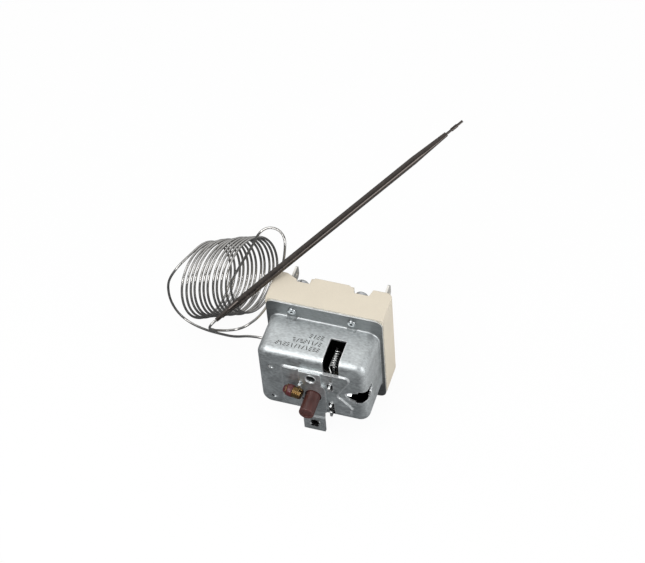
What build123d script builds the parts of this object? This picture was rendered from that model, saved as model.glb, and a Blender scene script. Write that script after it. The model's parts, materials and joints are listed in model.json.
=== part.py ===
from build123d import *
import math
import os

# Three-pole capillary safety thermostat with a manual reset pin. Millimetres.
# The origin is the middle of the two M4 holes, on the front face of the bracket.
# X runs to the right, Y to the back, Z up. The front faces -Y.

# Mounting bracket
hole_pitch = 28.0
mount_hole_d = 3.3
mount_chamfer = 0.5
mount_neck_d = 4.6
mount_neck = 1.5
bracket_t = 1.0
bracket_left = -4.9
bracket_right = 5.6
bracket_top_right = 4.0
bracket_step_z = 10.4
bracket_top = 17.6
tab_left = -4.5
tab_right = 4.3
tab_bottom = -18.4
tab_shoulder = -6.2
groove_depth = 0.45
groove_low = -10.1
groove_high = -4.6
groove_slope = 0.9
ridge_gap = 0.15

# Drawn steel can
wall = 0.8
can_left = -22.0
can_right = 22.0
can_bottom = -9.2
can_top = 24.8
platform_raise = 0.5
can_corner_r = 4.5
can_edge_r = 3.0
root_r = 0.8
flange_y = 19.8
flange_inset = 0.3
flange_top_inset = 0.4
flange_bottom = -14.6
flange_r = 3.0
platform_left = -12.4
platform_right = 15.4
platform_top = 18.1
platform_bottom = -5.6
platform_r = 1.8
platform_slope = 50.0
ledge_z = 16.9
ledge_w = 0.35
ledge_depth = 0.14
waist_x = 10.0
waist_z = 5.2
waist_half = 5.0
bead_low = (15.0, -1.6)
bead_high = (10.9, 3.2)
bead_w = 2.4
bead_h = 0.5
dimple_d = 2.6
dimple_depth = 0.6
dimple_x = -16.1
dimple_low_z = -3.0
dimple_high_z = 15.3

# Spring window in the can's top front corner
window_left = 4.8
window_right = 11.2
window_back = 13.2
window_low = 17.4

# Slot round the can's right front corner
slot_tip = (12.7, 7.0)
slot_upper = ((15.7, 8.4), (19.4, 9.5), (21.6, 10.3))
slot_lower = ((21.4, 4.9), (19.8, 3.8), (17.1, 3.2), (14.8, 4.1))
slot_back = 8.2
slot_side_low = 5.0
slot_side_high = 9.7
slot_nose_r = 0.5

# Moulded base
base_half_w = 23.7
side_wall = 3.5
base_bottom = -11.7
base_top = 32.2
base_rear = 34.7
base_corner_r = 2.6
cavity_margin = 6.4
cavity_back = 29.0
plate_lip = 1.0
plate_t = 1.0
pocket_floor = 31.2
pocket_depth_z = 15.2
end_wall = 1.1
pole_pitch = 12.0
middle_pole_x = -0.7
pocket_half_w = 3.4
rib_soft_r = 0.6
notch_rib = 3.9

# Terminals
blade_w = 6.3
blade_t = 0.8
blade_tip_y = 40.3
blade_x = (-17.0, None, 20.4)
leg_w = 3.6
leg_z = 20.8
tongue_end_z = 17.0
contact_d = 3.0
fixed_contact_h = 0.65
screw_z = 28.1
screw_head_d = 5.4
screw_head_h = 2.1
screw_d = 3.0
screw_len = 3.6
screw_slot_w = 0.8
blade_hole_d = 1.6

# Rivets that hold the can to the base
rivet_head_d = 3.4
rivet_head_h = 0.9
rivet_d = 2.2
rivet_len = 6.5
rivet_z = 28.2
rivet_bore_d = 1.2
dent_r = 3.9
dent_len = 1.7

# Reset pin
pin_x = 0.5
pin_z = 4.0
pin_d = 6.0
pin_tip_y = -9.2
pin_rim = 0.5
pin_gap = 0.35
collar_d = 8.6
collar_t = 0.9
nose_d = 3.2
nose_r = 1.4
touch_gap = 0.2

# Calibration screw and its lacquer
cal_right = (-3.0, -3.0, 7.4)
cal_left = (-10.6, -2.0, 7.8)
cal_d = 4.6
lacquer_len = 3.4
lacquer_d = 4.2
cal_slot_w = 0.8
cal_slot_depth = 1.0
fork_gap = 0.05
fork_low = 1.4
fork_high = 10.4
fork_reach = 3.9
relief_w = 0.9
relief_len = 1.8

# Trip lever
pivot_x = 7.3
pivot_y = 1.4
lever_t = 0.8
lever_y = 4.6
lever_past = 1.6
tongue_x = 14.4
tongue_low = 2.2
tongue_high = 4.8
ear_low = (-7.0, -4.0)
ear_tooth = (-1.6, -0.4)
ear_high = (8.6, 11.2)
ear_front = -0.4
ear_slot_gap = 0.75
lever_swing = 14.1
arm_top = 20.2
arm_front = 10.9
arm_back = 13.0
arm_hole_d = 1.1
arm_hole_edge = 1.2

# Tension spring
spring_x = 8.6
spring_z = 21.0
spring_r = 1.3
spring_wire = 0.45
spring_rest = 0.02
spring_front = 2.6
spring_back = 10.4
spring_turns = 6.5
hook_x = 8.3
hook_hole_d = 1.4
hook_hole_x = 7.6
hook_hole_z = 14.0

# Contact carrier and bridges
stem_d = 4.0
stem_z = 13.0
stem_clear = 0.08
guide_d = 7.0
guide_len = 2.4
carrier_y = 22.0
carrier_h = 5.4
carrier_side = 3.2
bar_t = 1.0
window_y = 2.1
bridge_t = 0.6
bridge_w = 4.0
bridge_half_len = 9.9
moving_contact_h = 0.4
leaf_t = 0.25
return_r = 1.5
return_wire = 0.4
return_turns = 4.0
return_seat_d = 4.6
return_seat_depth = 1.2

# Diaphragm capsule, its stud, nut and carrier strap
capsule_gap = 2.3
capsule_z = 8.6
capsule_d = 17.0
capsule_t = 1.8
capsule_y = 12.0
boss_d = 4.4
boss_tip_y = 10.5
stud_d = 5.0
nut_across = 8.0
nut_t = 2.4
strap_t = 1.0
strap_y = 15.4
strap_w = 9.0
strap_half = 10.2
strap_foot = 3.4
strap_rivet_d = 2.0

# Capillary tube and sensing bulb
cord_d = 1.0
exit_x = -24.0
exit_y = 16.0
exit_z = 12.0
exit_hole_d = 1.8
coil_r = 16.47
coil_centre = (-52.58, 52.70, -1.91)
coil_normal = (0.9316, -0.2735, 0.2394)
coil_shift = (18.92, 7.98, 0.0)
coil_build = 1.7
bulb_near = (-40.15, 9.2, 26.5)
bulb_far = (32.83, 103.0, 60.84)
bulb_d = 3.2
bulb_lead_in = 2.34
ferrule_d = 1.6
ferrule_len = 2.5
neck_d = 2.1
neck_end = 6.4
shoulder_end = 11.0
body_end = 99.0
wedge_end = 115.5
wedge_t = 1.1
tip_d = 1.0

lead_points = [
    (exit_x, exit_y, exit_z),
    (-29.5, 16.0, 12.0),
    (-38.0, 19.1, 4.6),
    (-47.5, 25.6, -4.3),
    (-57.0, 32.0, -12.5),
    (-65.2, 35.8, -15.2),
    (-70.5, 37.0, -12.0),
    (-73.3, 37.5, -5.0),
    (-73.6, 38.0, 2.5),
    (-72.6, 38.8, 7.4),
    (-69.6, 41.7, 12.2),
    (-66.6, 46.8, 13.8),
]
tail_points = [
    (-48.9, 42.8, 4.9),
    (-45.5, 47.6, 12.1),
    (-40.2, 51.7, 22.4),
    (-37.6, 53.0, 29.2),
    (-34.5, 55.5, 31.3),
    (-30.0, 55.8, 31.2),
    (-26.6, 53.8, 29.2),
    (-25.9, 50.6, 24.9),
    (-26.5, 48.2, 18.6),
    (-26.2, 38.5, 16.5),
    (-26.6, 30.0, 16.0),
    (-28.2, 22.9, 15.9),
    (-31.0, 19.2, 15.0),
    (-33.3, 17.9, 13.6),
    (-36.2, 17.2, 12.2),
    (-39.1, 15.9, 12.3),
    (-41.6, 13.9, 14.0),
    (-42.5, 11.3, 16.9),
    (-42.2, 9.7, 19.5),
    (-42.6, 7.9, 21.7),
    (-42.5, 6.9, 23.8),
]

# Values that follow from the sizes above
platform_y = bracket_t
base_left = -base_half_w
base_right = base_half_w
flange_left = base_left + flange_inset
flange_right = base_right - flange_inset
flange_top = base_top - flange_top_inset
cavity_half_w = base_half_w - side_wall
capsule_x = can_left + wall + capsule_gap + capsule_d / 2
lever_left = capsule_x - lever_past
can_front = platform_y + platform_raise
inner_front = platform_y + wall
base_front = flange_y + wall
base_mid_z = (base_top + base_bottom) / 2
pole_x = [middle_pole_x + pole_pitch * i for i in (-1, 0, 1)]
seat_top = pocket_floor + blade_t
pin_stroke = math.radians(lever_swing) * (pivot_x - pin_x)
carrier_stroke = 1.08 * pin_stroke
carrier_low = base_mid_z - carrier_h / 2
carrier_high = base_mid_z + carrier_h / 2
bar_y = carrier_y + bar_t + window_y
bridge_y = bar_y - bridge_t
fixed_contact_y = cavity_back - blade_t - fixed_contact_h


def box(x0, x1, y0, y1, z0, z1):
    """Block between two corners."""
    centre = Pos((x0 + x1) / 2, (y0 + y1) / 2, (z0 + z1) / 2)
    return centre * Box(x1 - x0, y1 - y0, z1 - z0)


def along_y(sketch, y0, y1):
    """Prism of a sketch drawn in X and Z, from y0 back to y1."""
    plane = Plane(origin=(0, y0, 0), x_dir=(1, 0, 0), z_dir=(0, -1, 0))
    return extrude(plane * sketch, amount=-(y1 - y0))


def along_x(sketch, x0, x1):
    """Prism of a sketch drawn in Y and Z, from x0 to x1."""
    plane = Plane(origin=(x0, 0, 0), x_dir=(0, 1, 0), z_dir=(1, 0, 0))
    return extrude(plane * sketch, amount=x1 - x0)


def along_z(sketch, z0, z1):
    """Prism of a sketch drawn in X and Y, from z0 up to z1."""
    return extrude(Plane.XY.offset(z0) * sketch, amount=z1 - z0)


def rod(x, z, y0, y1, d):
    """Round bar along Y."""
    return along_y(Pos(x, z) * Circle(d / 2), y0, y1)


def frame_rect(x0, x1, z0, z1, r=0.0):
    """Rectangle given by its sides, with round corners where r is set."""
    place = Pos((x0 + x1) / 2, (z0 + z1) / 2)
    if r > 0:
        return place * RectangleRounded(x1 - x0, z1 - z0, r)
    return place * Rectangle(x1 - x0, z1 - z0)


def outline(points, r=0.0):
    """Closed outline through the points, with its corners rounded."""
    shape = make_face(Polyline(*points, close=True))
    if r > 0:
        shape = fillet(shape.vertices(), r)
    return shape


def edges_at_y(solid, y):
    """Edges that lie in the plane Y = y."""
    low = y - 0.01
    high = y + 0.01
    return solid.edges().filter_by_position(Axis.Y, low, high)


def mirrored(solid):
    """Copy on the lower side of the base's middle plane."""
    return mirror(solid, about=Plane.XY.offset(base_mid_z))


def raised(sketch, y_root, y_top, angle=0.0):
    """Pad of a sketch drawn in X and Z, from y_root forward to y_top, with sloping sides."""
    plane = Plane(origin=(0, y_root, 0), x_dir=(1, 0, 0), z_dir=(0, -1, 0))
    return extrude(plane * sketch, amount=y_root - y_top, taper=angle)


def bead_outline(width):
    """Long round-ended outline of the pressed bead below the corner slot."""
    low = Vector(*bead_low)
    high = Vector(*bead_high)
    middle = (low + high) / 2
    turn = math.degrees(math.atan2(high.Y - low.Y, high.X - low.X))
    return Pos(middle.X, middle.Y) * Rot(0, 0, turn) * SlotCenterToCenter((high - low).length, width)


def platform_outline(inset=0.0):
    """Raised field on the can's front, with a waist beside the corner slot."""
    points = [
        (platform_left + inset, platform_top - inset),
        (platform_right - inset, platform_top - inset),
        (platform_right - inset, waist_z + 2 * waist_half - inset),
        (waist_x - inset, waist_z),
        (platform_right - inset, waist_z - waist_half + inset / 2),
        (platform_right - inset, platform_bottom + inset),
        (platform_left + inset, platform_bottom + inset),
    ]
    return outline(points, platform_r)


def make_can():
    """Deep-drawn can with its flange, raised field, windows and dimples."""
    back = flange_y + wall
    shell = along_y(frame_rect(can_left, can_right, can_bottom, can_top, can_corner_r), can_front, back)
    shell = fillet(edges_at_y(shell, can_front), can_edge_r)
    flange = along_y(
        frame_rect(flange_left, flange_right, flange_bottom, flange_top, flange_r),
        flange_y, back)
    shell = shell + flange
    root = [e for e in edges_at_y(shell, flange_y) if on_can_wall(e)]
    shell = fillet(root, root_r)
    shell = shell + raised(platform_outline(), can_front, platform_y, platform_slope)
    shell = shell + raised(bead_outline(bead_w), can_front, can_front - bead_h, platform_slope)
    hollow = along_y(
        frame_rect(can_left + wall, can_right - wall, can_bottom + wall, can_top - wall, can_corner_r - wall),
        can_front + wall, back + 1)
    hollow = fillet(edges_at_y(hollow, can_front + wall), can_edge_r - wall)
    pocket = along_y(platform_outline(wall), inner_front, can_front + wall + 0.5)
    outside = shell
    shell = shell - hollow - pocket
    for x in (pole_x[0], pole_x[2]):
        bump = rod(x, rivet_z, flange_y - dent_len - wall, flange_y, 2 * (dent_r + wall)) & outside
        shell = shell + (bump & box(can_left, can_right, 0, flange_y, can_bottom, can_top))
        shell = shell - rod(x, rivet_z, flange_y - dent_len, flange_y, 2 * dent_r)
        shell = shell - rod(x, rivet_z, flange_y - 1, back + 1, rivet_d)
    ball_r = (dimple_d ** 2 / 4 + dimple_depth ** 2) / (2 * dimple_depth)
    for z in (dimple_low_z, dimple_high_z):
        shell = shell - Pos(dimple_x, can_front - ball_r + dimple_depth, z) * Sphere(ball_r)
    shell = shell - box(platform_left + 1.2, bracket_left - relief_w, 0, platform_y + ledge_depth,
                        ledge_z, ledge_z + ledge_w)
    for cut in can_openings():
        shell = shell - cut
    return shell


def on_can_wall(edge):
    """True for an edge that runs along the can's wall and not along the flange's rim."""
    low = edge.bounding_box().min
    high = edge.bounding_box().max
    inside_x = low.X > can_left - 0.1 and high.X < can_right + 0.1
    inside_z = low.Z > can_bottom - 0.1 and high.Z < can_top + 0.1
    return inside_x and inside_z


def can_openings():
    """Cuts through the can: window, pin hole, neck hole, hook hole, ear slots, corner slot, tube hole."""
    deep = inner_front + 1
    cuts = [
        box(window_left, window_right, platform_y - 1, window_back, window_low, can_top + 1),
        rod(pin_x, pin_z, 0, deep, pin_d + 2 * pin_gap),
        rod(0, hole_pitch / 2, 0, deep, mount_neck_d + 0.2),
        rod(hook_hole_x, hook_hole_z, 0, deep, hook_hole_d),
    ]
    half = lever_t / 2 + ear_slot_gap
    for low, high in ((ear_low[0], ear_tooth[1]), ear_high):
        cuts.append(box(pivot_x - half, pivot_x + half, platform_y - 1, can_front + 4, low - 0.4, high + 0.4))
    outer = can_right + 1
    front_slot = outline(
        [slot_tip] + list(slot_upper) + [(outer, slot_upper[-1][1]), (outer, slot_lower[0][1])] + list(slot_lower),
        slot_nose_r)
    cuts.append(along_y(front_slot, platform_y - 1, can_front + can_corner_r - wall))
    side_slot = outline([
        (can_front - 1, slot_upper[-1][1]), (can_front + can_edge_r, slot_upper[-1][1]),
        (slot_back - 0.5, slot_side_high), (slot_back, slot_side_low + 1.5), (slot_back - 1.2, slot_side_low),
        (can_front + can_edge_r, slot_lower[0][1]), (can_front - 1, slot_lower[0][1])], slot_nose_r)
    cuts.append(along_x(side_slot, can_right - can_corner_r + wall, outer))
    cuts.append(along_x(Pos(exit_y, exit_z) * Circle(exit_hole_d / 2), can_left - 1, can_left + 2))
    return cuts


def make_base():
    """Moulded base: contact cavity in front, screw pockets and ribs behind."""
    block = along_z(
        outline([
            (base_left, base_front), (base_right, base_front),
            (base_right, base_rear), (base_left, base_rear)]),
        base_bottom, base_top)
    rear_edges = block.edges().filter_by(Axis.Z).sort_by(Axis.Y)[-2:]
    block = fillet(rear_edges, base_corner_r)
    rim = block.edges().filter_by_position(Axis.Y, base_rear - 0.01, base_rear + 0.01)
    block = fillet(rim, rib_soft_r)
    cav_low = base_bottom + cavity_margin
    cav_high = base_top - cavity_margin
    block = block - box(-cavity_half_w, cavity_half_w, base_front - 1, cavity_back, cav_low, cav_high)
    block = block - box(
        -cavity_half_w - plate_lip, cavity_half_w + plate_lip, base_front - 1, base_front + plate_t,
        cav_low - plate_lip, cav_high + plate_lip)
    pocket_low = base_top - pocket_depth_z
    cuts = []
    for i, x in enumerate(pole_x):
        high = base_top - end_wall
        cuts.append(box(x - pocket_half_w, x + pocket_half_w, pocket_floor, base_rear + 1, pocket_low, high))
        if blade_x[i] is not None:
            near = min(x, blade_x[i] - blade_t)
            far = max(x, blade_x[i] + blade_t)
            low = screw_z - blade_w / 2 - 0.4
            cuts.append(box(near, far, pocket_floor, base_rear + 1, low, high))
        cuts.append(box(
            x - leg_w / 2 - 0.1, x + leg_w / 2 + 0.1, cavity_back - 0.5, pocket_floor + 0.5,
            leg_z - 0.1, leg_z + blade_t + 0.1))
        cuts.append(rod(x, screw_z, seat_top - screw_len, base_rear, screw_d))
    left = pole_x[0]
    right = pole_x[2]
    floor = pocket_floor
    notch_left = outline([
        (base_left + notch_rib, base_rear + 0.1), (left - 1.9, floor + 1.1), (left - 1.4, floor),
        (left + 3.5, floor), (left + 5.2, base_rear + 0.1)])
    notch_right = outline([
        (right - 5.8, base_rear + 0.1), (right - 2.8, floor + 1.7), (right - 2.4, floor),
        (right + 3.6, floor), (right + 4.6, base_rear + 0.1)])
    for notch in (notch_left, notch_right):
        cuts.append(along_z(notch, base_top - end_wall - 0.1, base_top + 1))
    for cut in cuts:
        block = block - cut - mirrored(cut)
    for x in (pole_x[0], pole_x[2]):
        block = block - rod(x, rivet_z, base_front - 1, base_front + rivet_len + 0.3, rivet_d)
    room = stem_z + stem_d / 2 + 0.9
    for x in (middle_pole_x - pole_pitch / 2, middle_pole_x + pole_pitch / 2):
        block = block + box(x - 0.6, x + 0.6, carrier_y, cavity_back + 0.1, room, cav_high + 0.1)
        block = block + box(x - 0.6, x + 0.6, carrier_y, cavity_back + 0.1, cav_low - 0.1, carrier_low - 0.6)
    seat = rod(middle_pole_x, base_mid_z, cavity_back - 1, cavity_back + return_seat_depth, return_seat_d)
    return block - seat


def make_insulating_plate():
    """Plate over the contact cavity, with the guide for the carrier's stem."""
    cav_low = base_bottom + cavity_margin - plate_lip
    cav_high = base_top - cavity_margin + plate_lip
    plate = along_y(
        frame_rect(-cavity_half_w - plate_lip, cavity_half_w + plate_lip, cav_low, cav_high),
        base_front, base_front + plate_t)
    plate = plate + rod(pin_x, stem_z, base_front - guide_len, base_front, guide_d)
    plate = plate - rod(pin_x, stem_z, base_front - guide_len - 1, base_front + plate_t + 1,
                        stem_d + 2 * stem_clear)
    for z in strap_rivet_places():
        plate = plate - rod(capsule_x, z, base_front - 1, base_front + plate_t + 1, strap_rivet_d)
    return plate


def make_flange_rivets():
    """Two hollow-headed rivets through the flange into the base."""
    group = []
    for x in (pole_x[0], pole_x[2]):
        head = rod(x, rivet_z, flange_y - rivet_head_h, flange_y, rivet_head_d)
        head = fillet(edges_at_y(head, flange_y - rivet_head_h), rivet_head_h * 0.7)
        shank = rod(x, rivet_z, flange_y - 0.1, base_front + rivet_len, rivet_d)
        bore = rod(x, rivet_z, flange_y - rivet_head_h - 1, flange_y + 1, rivet_bore_d)
        group.append(head + shank - bore)
    return Compound(children=group)


def cal_axis():
    """Start point and unit direction of the calibration screw, right to left."""
    start = Vector(*cal_right)
    return start, (Vector(*cal_left) - start).normalized()


def cal_rod(d, start_at, end_at):
    """Round bar along the calibration screw's axis."""
    start, way = cal_axis()
    plane = Plane(origin=start + way * start_at, z_dir=way)
    return extrude(plane * Circle(d / 2), amount=end_at - start_at)


def make_bracket():
    """Front bracket with both M4 holes, the tab below and the screw's fork."""
    face = outline([
        (bracket_left, bracket_top), (bracket_top_right, bracket_top),
        (bracket_top_right, bracket_step_z + 0.8), (bracket_right, bracket_step_z - 0.8),
        (bracket_right, tab_shoulder + 0.6), (tab_right, tab_shoulder - 0.7),
        (tab_right, tab_bottom), (tab_left, tab_bottom),
        (tab_left, tab_shoulder - 0.7), (bracket_left, tab_shoulder + 0.6)], 0.35)
    d = groove_depth
    ridge_high = platform_bottom - ridge_gap
    side = outline([
        (0, bracket_top + 1), (0, groove_high + groove_slope / 2), (d, groove_high - groove_slope / 2),
        (d, groove_low + groove_slope), (0, groove_low), (0, tab_bottom - 1),
        (bracket_t, tab_bottom - 1), (bracket_t, groove_low - 0.1), (bracket_t + d, groove_low + groove_slope),
        (bracket_t + d, ridge_high), (bracket_t, ridge_high + d * math.tan(math.radians(platform_slope))),
        (bracket_t, bracket_top + 1)])
    body = along_x(side, bracket_left - 1, bracket_right + 1) & along_y(face, -1, bracket_t + 2)
    fork = box(bracket_left, bracket_left + bracket_t, -fork_reach, 0.2, fork_low, fork_high)
    fork = fillet(fork.edges().filter_by(Axis.X).sort_by(Axis.Y)[:2], 0.8)
    body = body + fork
    for z in (fork_low - relief_w, fork_high):
        body = body - box(bracket_left - 1, bracket_left + relief_len, -0.1, bracket_t + 1, z, z + relief_w)
    body = body - cal_rod(cal_d + 2 * fork_gap, -1, 2 * cal_d)
    for z in (hole_pitch / 2, -hole_pitch / 2):
        neck = rod(0, z, bracket_t - 0.1, bracket_t + mount_neck, mount_neck_d)
        body = body + fillet(edges_at_y(neck, bracket_t + mount_neck), 0.3)
        body = body - rod(0, z, -1, bracket_t + mount_neck + 1, mount_hole_d)
        top = edges_at_y(body, 0).filter_by(GeomType.CIRCLE)
        rim = [e for e in top if abs(e.arc_center.Z - z) < 0.1 and abs(e.arc_center.X) < 0.1]
        body = chamfer(rim, mount_chamfer)
    body = body - rod(pin_x, pin_z, -1, bracket_t + 1, pin_d + 2 * pin_gap)
    return body


def make_calibration_screw():
    """Brass grub screw, slotted at its right end."""
    start, way = cal_axis()
    length = (Vector(*cal_left) - start).length
    screw = cal_rod(cal_d, 0, length - lacquer_len * 0.6)
    slot_plane = Plane(origin=start, z_dir=way)
    slot = extrude(slot_plane * Rectangle(cal_slot_w, cal_d + 1), amount=cal_slot_depth)
    return screw - slot


def make_lacquer():
    """Cap of locking lacquer on the calibration screw's left end."""
    start, way = cal_axis()
    length = (Vector(*cal_left) - start).length
    cap = cal_rod(lacquer_d, length - lacquer_len, length)
    far = cap.edges().filter_by(GeomType.CIRCLE).sort_by(Axis.X)[0]
    cap = fillet(far, 1.0)
    return cap - cal_rod(cal_d, -1, length - lacquer_len * 0.6)


def make_reset_pin():
    """Moulded reset pin with its stop collar and rounded nose."""
    pin = rod(pin_x, pin_z, pin_tip_y, inner_front + 0.1 + collar_t, pin_d)
    pin = fillet(edges_at_y(pin, pin_tip_y), pin_rim)
    pin = pin + rod(pin_x, pin_z, inner_front + 0.1, inner_front + 0.1 + collar_t, collar_d)
    pin = pin - rod(pin_x, pin_z, pin_tip_y - 1, pin_tip_y + 0.4, pin_d - 2.4)
    nose = rod(pin_x, pin_z, inner_front + collar_t, lever_y - touch_gap, nose_d)
    nose = fillet(edges_at_y(nose, lever_y - touch_gap), nose_r)
    return pin + nose


def make_lever():
    """Sheet trip lever: web, front ears in the can's slots and spring arm."""
    x_side = pivot_x - lever_t / 2
    web = outline([
        (x_side + lever_t, ear_low[0]), (x_side + lever_t, ear_high[1]), (pin_x + 2.5, stem_z + 3.2),
        (pin_x - 2.5, stem_z + 3.2), (lever_left, capsule_z + 3), (lever_left, capsule_z - 3),
        (pin_x - 2.5, pin_z - 3.2), (pin_x + 3, ear_low[0])], 0.7)
    lever = along_y(web, lever_y, lever_y + lever_t)
    for low, high in (ear_low, ear_tooth, ear_high):
        ear = box(x_side, x_side + lever_t, ear_front, lever_y + lever_t, low, high)
        ear = fillet(ear.edges().filter_by(Axis.X).sort_by(Axis.Y)[:2], 0.5)
        lever = lever + ear
    tongue = box(x_side, tongue_x, lever_y, lever_y + lever_t, tongue_low, tongue_high)
    lever = lever + fillet(tongue.edges().filter_by(Axis.Y).sort_by(Axis.X)[-2:], 0.8)
    arm = outline([
        (lever_y, ear_high[0] - 3), (lever_y, ear_high[1]), (arm_front, arm_top), (arm_back, arm_top),
        (arm_back, arm_top - 3.2), (lever_y + 3, ear_high[0] - 3)])
    arm = along_x(arm, x_side, x_side + lever_t)
    hole = Pos((arm_front + arm_back) / 2, arm_top - arm_hole_edge) * Circle(arm_hole_d / 2)
    arm = arm - along_x(hole, x_side - 1, x_side + 2)
    return lever + arm


def make_tension_spring():
    """Coil spring along Y, its front hook over the window's lip."""
    height = spring_back - spring_front
    path = Helix(pitch=height / spring_turns, height=height, radius=spring_r,
                 center=(spring_x, spring_front, spring_z), direction=(0, 1, 0))
    section = Plane(origin=path @ 0, z_dir=path % 0) * RegularPolygon(spring_wire / 2, 6)
    coil = sweep(section, path=path, is_frenet=True)
    front = path @ 0
    back = path @ 1
    lip_y = platform_y - spring_wire / 2 - spring_rest
    hook = wire_run([
        (front.X, front.Y, front.Z), (hook_x, lip_y + 1.2, spring_z - 0.4), (hook_x, lip_y, window_low + 0.6),
        (hook_x, lip_y, window_low - 0.8), (hook_hole_x, lip_y, hook_hole_z + 0.2),
        (hook_hole_x, inner_front + 0.6, hook_hole_z - 0.1)])
    hole_y = (arm_front + arm_back) / 2 - (arm_hole_d - spring_wire) / 2 + spring_rest
    hole_z = arm_top - arm_hole_edge
    eye = wire_run([
        (back.X, back.Y, back.Z), (pivot_x + 1.6, hole_y - 0.6, hole_z + 0.9),
        (pivot_x + 1.1, hole_y, hole_z), (pivot_x - 0.9, hole_y, hole_z)])
    return coil + hook + eye


def wire_run(points):
    """Straight lengths of spring wire joined by balls at the bends."""
    solid = None
    for a, b in zip(points[:-1], points[1:]):
        start = Vector(*a)
        way = Vector(*b) - start
        piece = extrude(Plane(origin=start, z_dir=way) * Circle(spring_wire / 2), amount=way.length)
        piece = piece + Pos(*b) * Sphere(spring_wire / 2)
        solid = piece if solid is None else solid + piece
    return solid


def make_carrier():
    """Contact carrier: round stem in front and a cage for three bridges."""
    x0 = pole_x[0] - carrier_side
    x1 = pole_x[2] + carrier_side
    cage = box(x0, x1, carrier_y, bar_y + bar_t, carrier_low, carrier_high)
    for x in pole_x:
        half = bridge_w / 2 + 0.2
        cage = cage - box(x - half, x + half, carrier_y + bar_t, bar_y, carrier_low - 1, carrier_high + 1)
    tip = lever_y + lever_t + touch_gap
    stem = rod(pin_x, stem_z, tip, carrier_y + 0.5, stem_d)
    stem = fillet(edges_at_y(stem, tip), stem_d / 2 - 0.05)
    pad = box(pin_x - 3, pin_x + 3, carrier_y, carrier_y + bar_t, carrier_high - 1, stem_z + stem_d / 2 + 0.6)
    return cage + stem + pad


def make_bridge(x):
    """Contact bridge with a rivet contact at each end."""
    bridge = box(x - bridge_w / 2, x + bridge_w / 2, bridge_y, bar_y,
                 base_mid_z - bridge_half_len, base_mid_z + bridge_half_len)
    for z in contact_places():
        bridge = bridge + rod(x, z, bar_y - 0.1, bar_y + moving_contact_h, contact_d)
    return bridge


def contact_places():
    """Heights of the two contacts of a pole."""
    top = tongue_end_z + contact_d / 2 + 0.1
    return (top, 2 * base_mid_z - top)


def make_contact_leaf(x):
    """Bowed leaf that presses a bridge against the carrier's bar."""
    rise = bridge_y - (carrier_y + bar_t)
    half = carrier_h / 2 - 0.3
    y_low = carrier_y + bar_t
    outer = ThreePointArc((bridge_y, base_mid_z - half), (y_low, base_mid_z), (bridge_y, base_mid_z + half))
    inner = ThreePointArc((bridge_y, base_mid_z - half + leaf_t * 1.6), (y_low + leaf_t, base_mid_z),
                          (bridge_y, base_mid_z + half - leaf_t * 1.6))
    closing = [Line(outer @ 0, inner @ 0), Line(outer @ 1, inner @ 1)]
    profile = make_face([outer, inner] + closing)
    return along_x(profile, x - bridge_w / 2 + 0.6, x + bridge_w / 2 - 0.6) if rise > 0 else None


def make_return_spring():
    """Coil spring that pushes the carrier forward again."""
    y0 = bar_y + bar_t
    height = cavity_back + return_seat_depth - y0 - return_wire
    path = Helix(pitch=height / return_turns, height=height, radius=return_r,
                 center=(middle_pole_x, y0 + return_wire / 2, base_mid_z), direction=(0, 1, 0))
    section = Plane(origin=path @ 0, z_dir=path % 0) * RegularPolygon(return_wire / 2, 6)
    return sweep(section, path=path, is_frenet=True)


def make_terminal(i):
    """Folded terminal strip: seat under the screw, leg, contact and outer blade."""
    x = pole_x[i]
    half = blade_w / 2
    top = base_top - end_wall - 0.1
    reach = pocket_half_w - 0.2
    seat = box(x - reach, x + reach, pocket_floor, seat_top, screw_z - half, top)
    if blade_x[i] is not None:
        b = blade_x[i]
        near = min(x, b - blade_t / 2)
        far = max(x, b + blade_t / 2)
        seat = seat + box(near, far, pocket_floor, seat_top, screw_z - half, top)
        blade = box(b - blade_t / 2, b + blade_t / 2, pocket_floor, blade_tip_y, top - blade_w, top)
        blade = chamfer(edges_at_y(blade, blade_tip_y).filter_by(Axis.X), 1.2)
        hole = Pos(blade_tip_y - 2.6, top - half) * Circle(blade_hole_d / 2)
        seat = seat + blade - along_x(hole, b - 2, b + 2)
    neck = box(x - leg_w / 2, x + leg_w / 2, pocket_floor, seat_top, leg_z, screw_z - half + 0.1)
    leg = box(x - leg_w / 2, x + leg_w / 2, cavity_back - blade_t, seat_top, leg_z, leg_z + blade_t)
    tongue = box(x - leg_w / 2, x + leg_w / 2, cavity_back - blade_t, cavity_back, tongue_end_z,
                 leg_z + blade_t)
    terminal = seat + neck + leg + tongue
    terminal = terminal + rod(x, contact_places()[0], fixed_contact_y, cavity_back - blade_t + 0.1, contact_d)
    return terminal - rod(x, screw_z, pocket_floor - 1, seat_top + 1, screw_d + 0.2)


def make_terminal_screws():
    """Six pan-head screws in the terminals."""
    group = []
    for x in pole_x:
        head = rod(x, screw_z, seat_top, seat_top + screw_head_h, screw_head_d)
        head = fillet(edges_at_y(head, seat_top + screw_head_h), 0.9)
        shank = rod(x, screw_z, seat_top - screw_len, seat_top + 0.1, screw_d)
        slot = box(x - screw_head_d, x + screw_head_d, seat_top + screw_head_h - 0.9,
                   seat_top + screw_head_h + 1, screw_z - screw_slot_w / 2, screw_z + screw_slot_w / 2)
        screw = head + shank - slot
        group.append(screw)
        group.append(mirrored(screw))
    return Compound(children=group)


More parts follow.
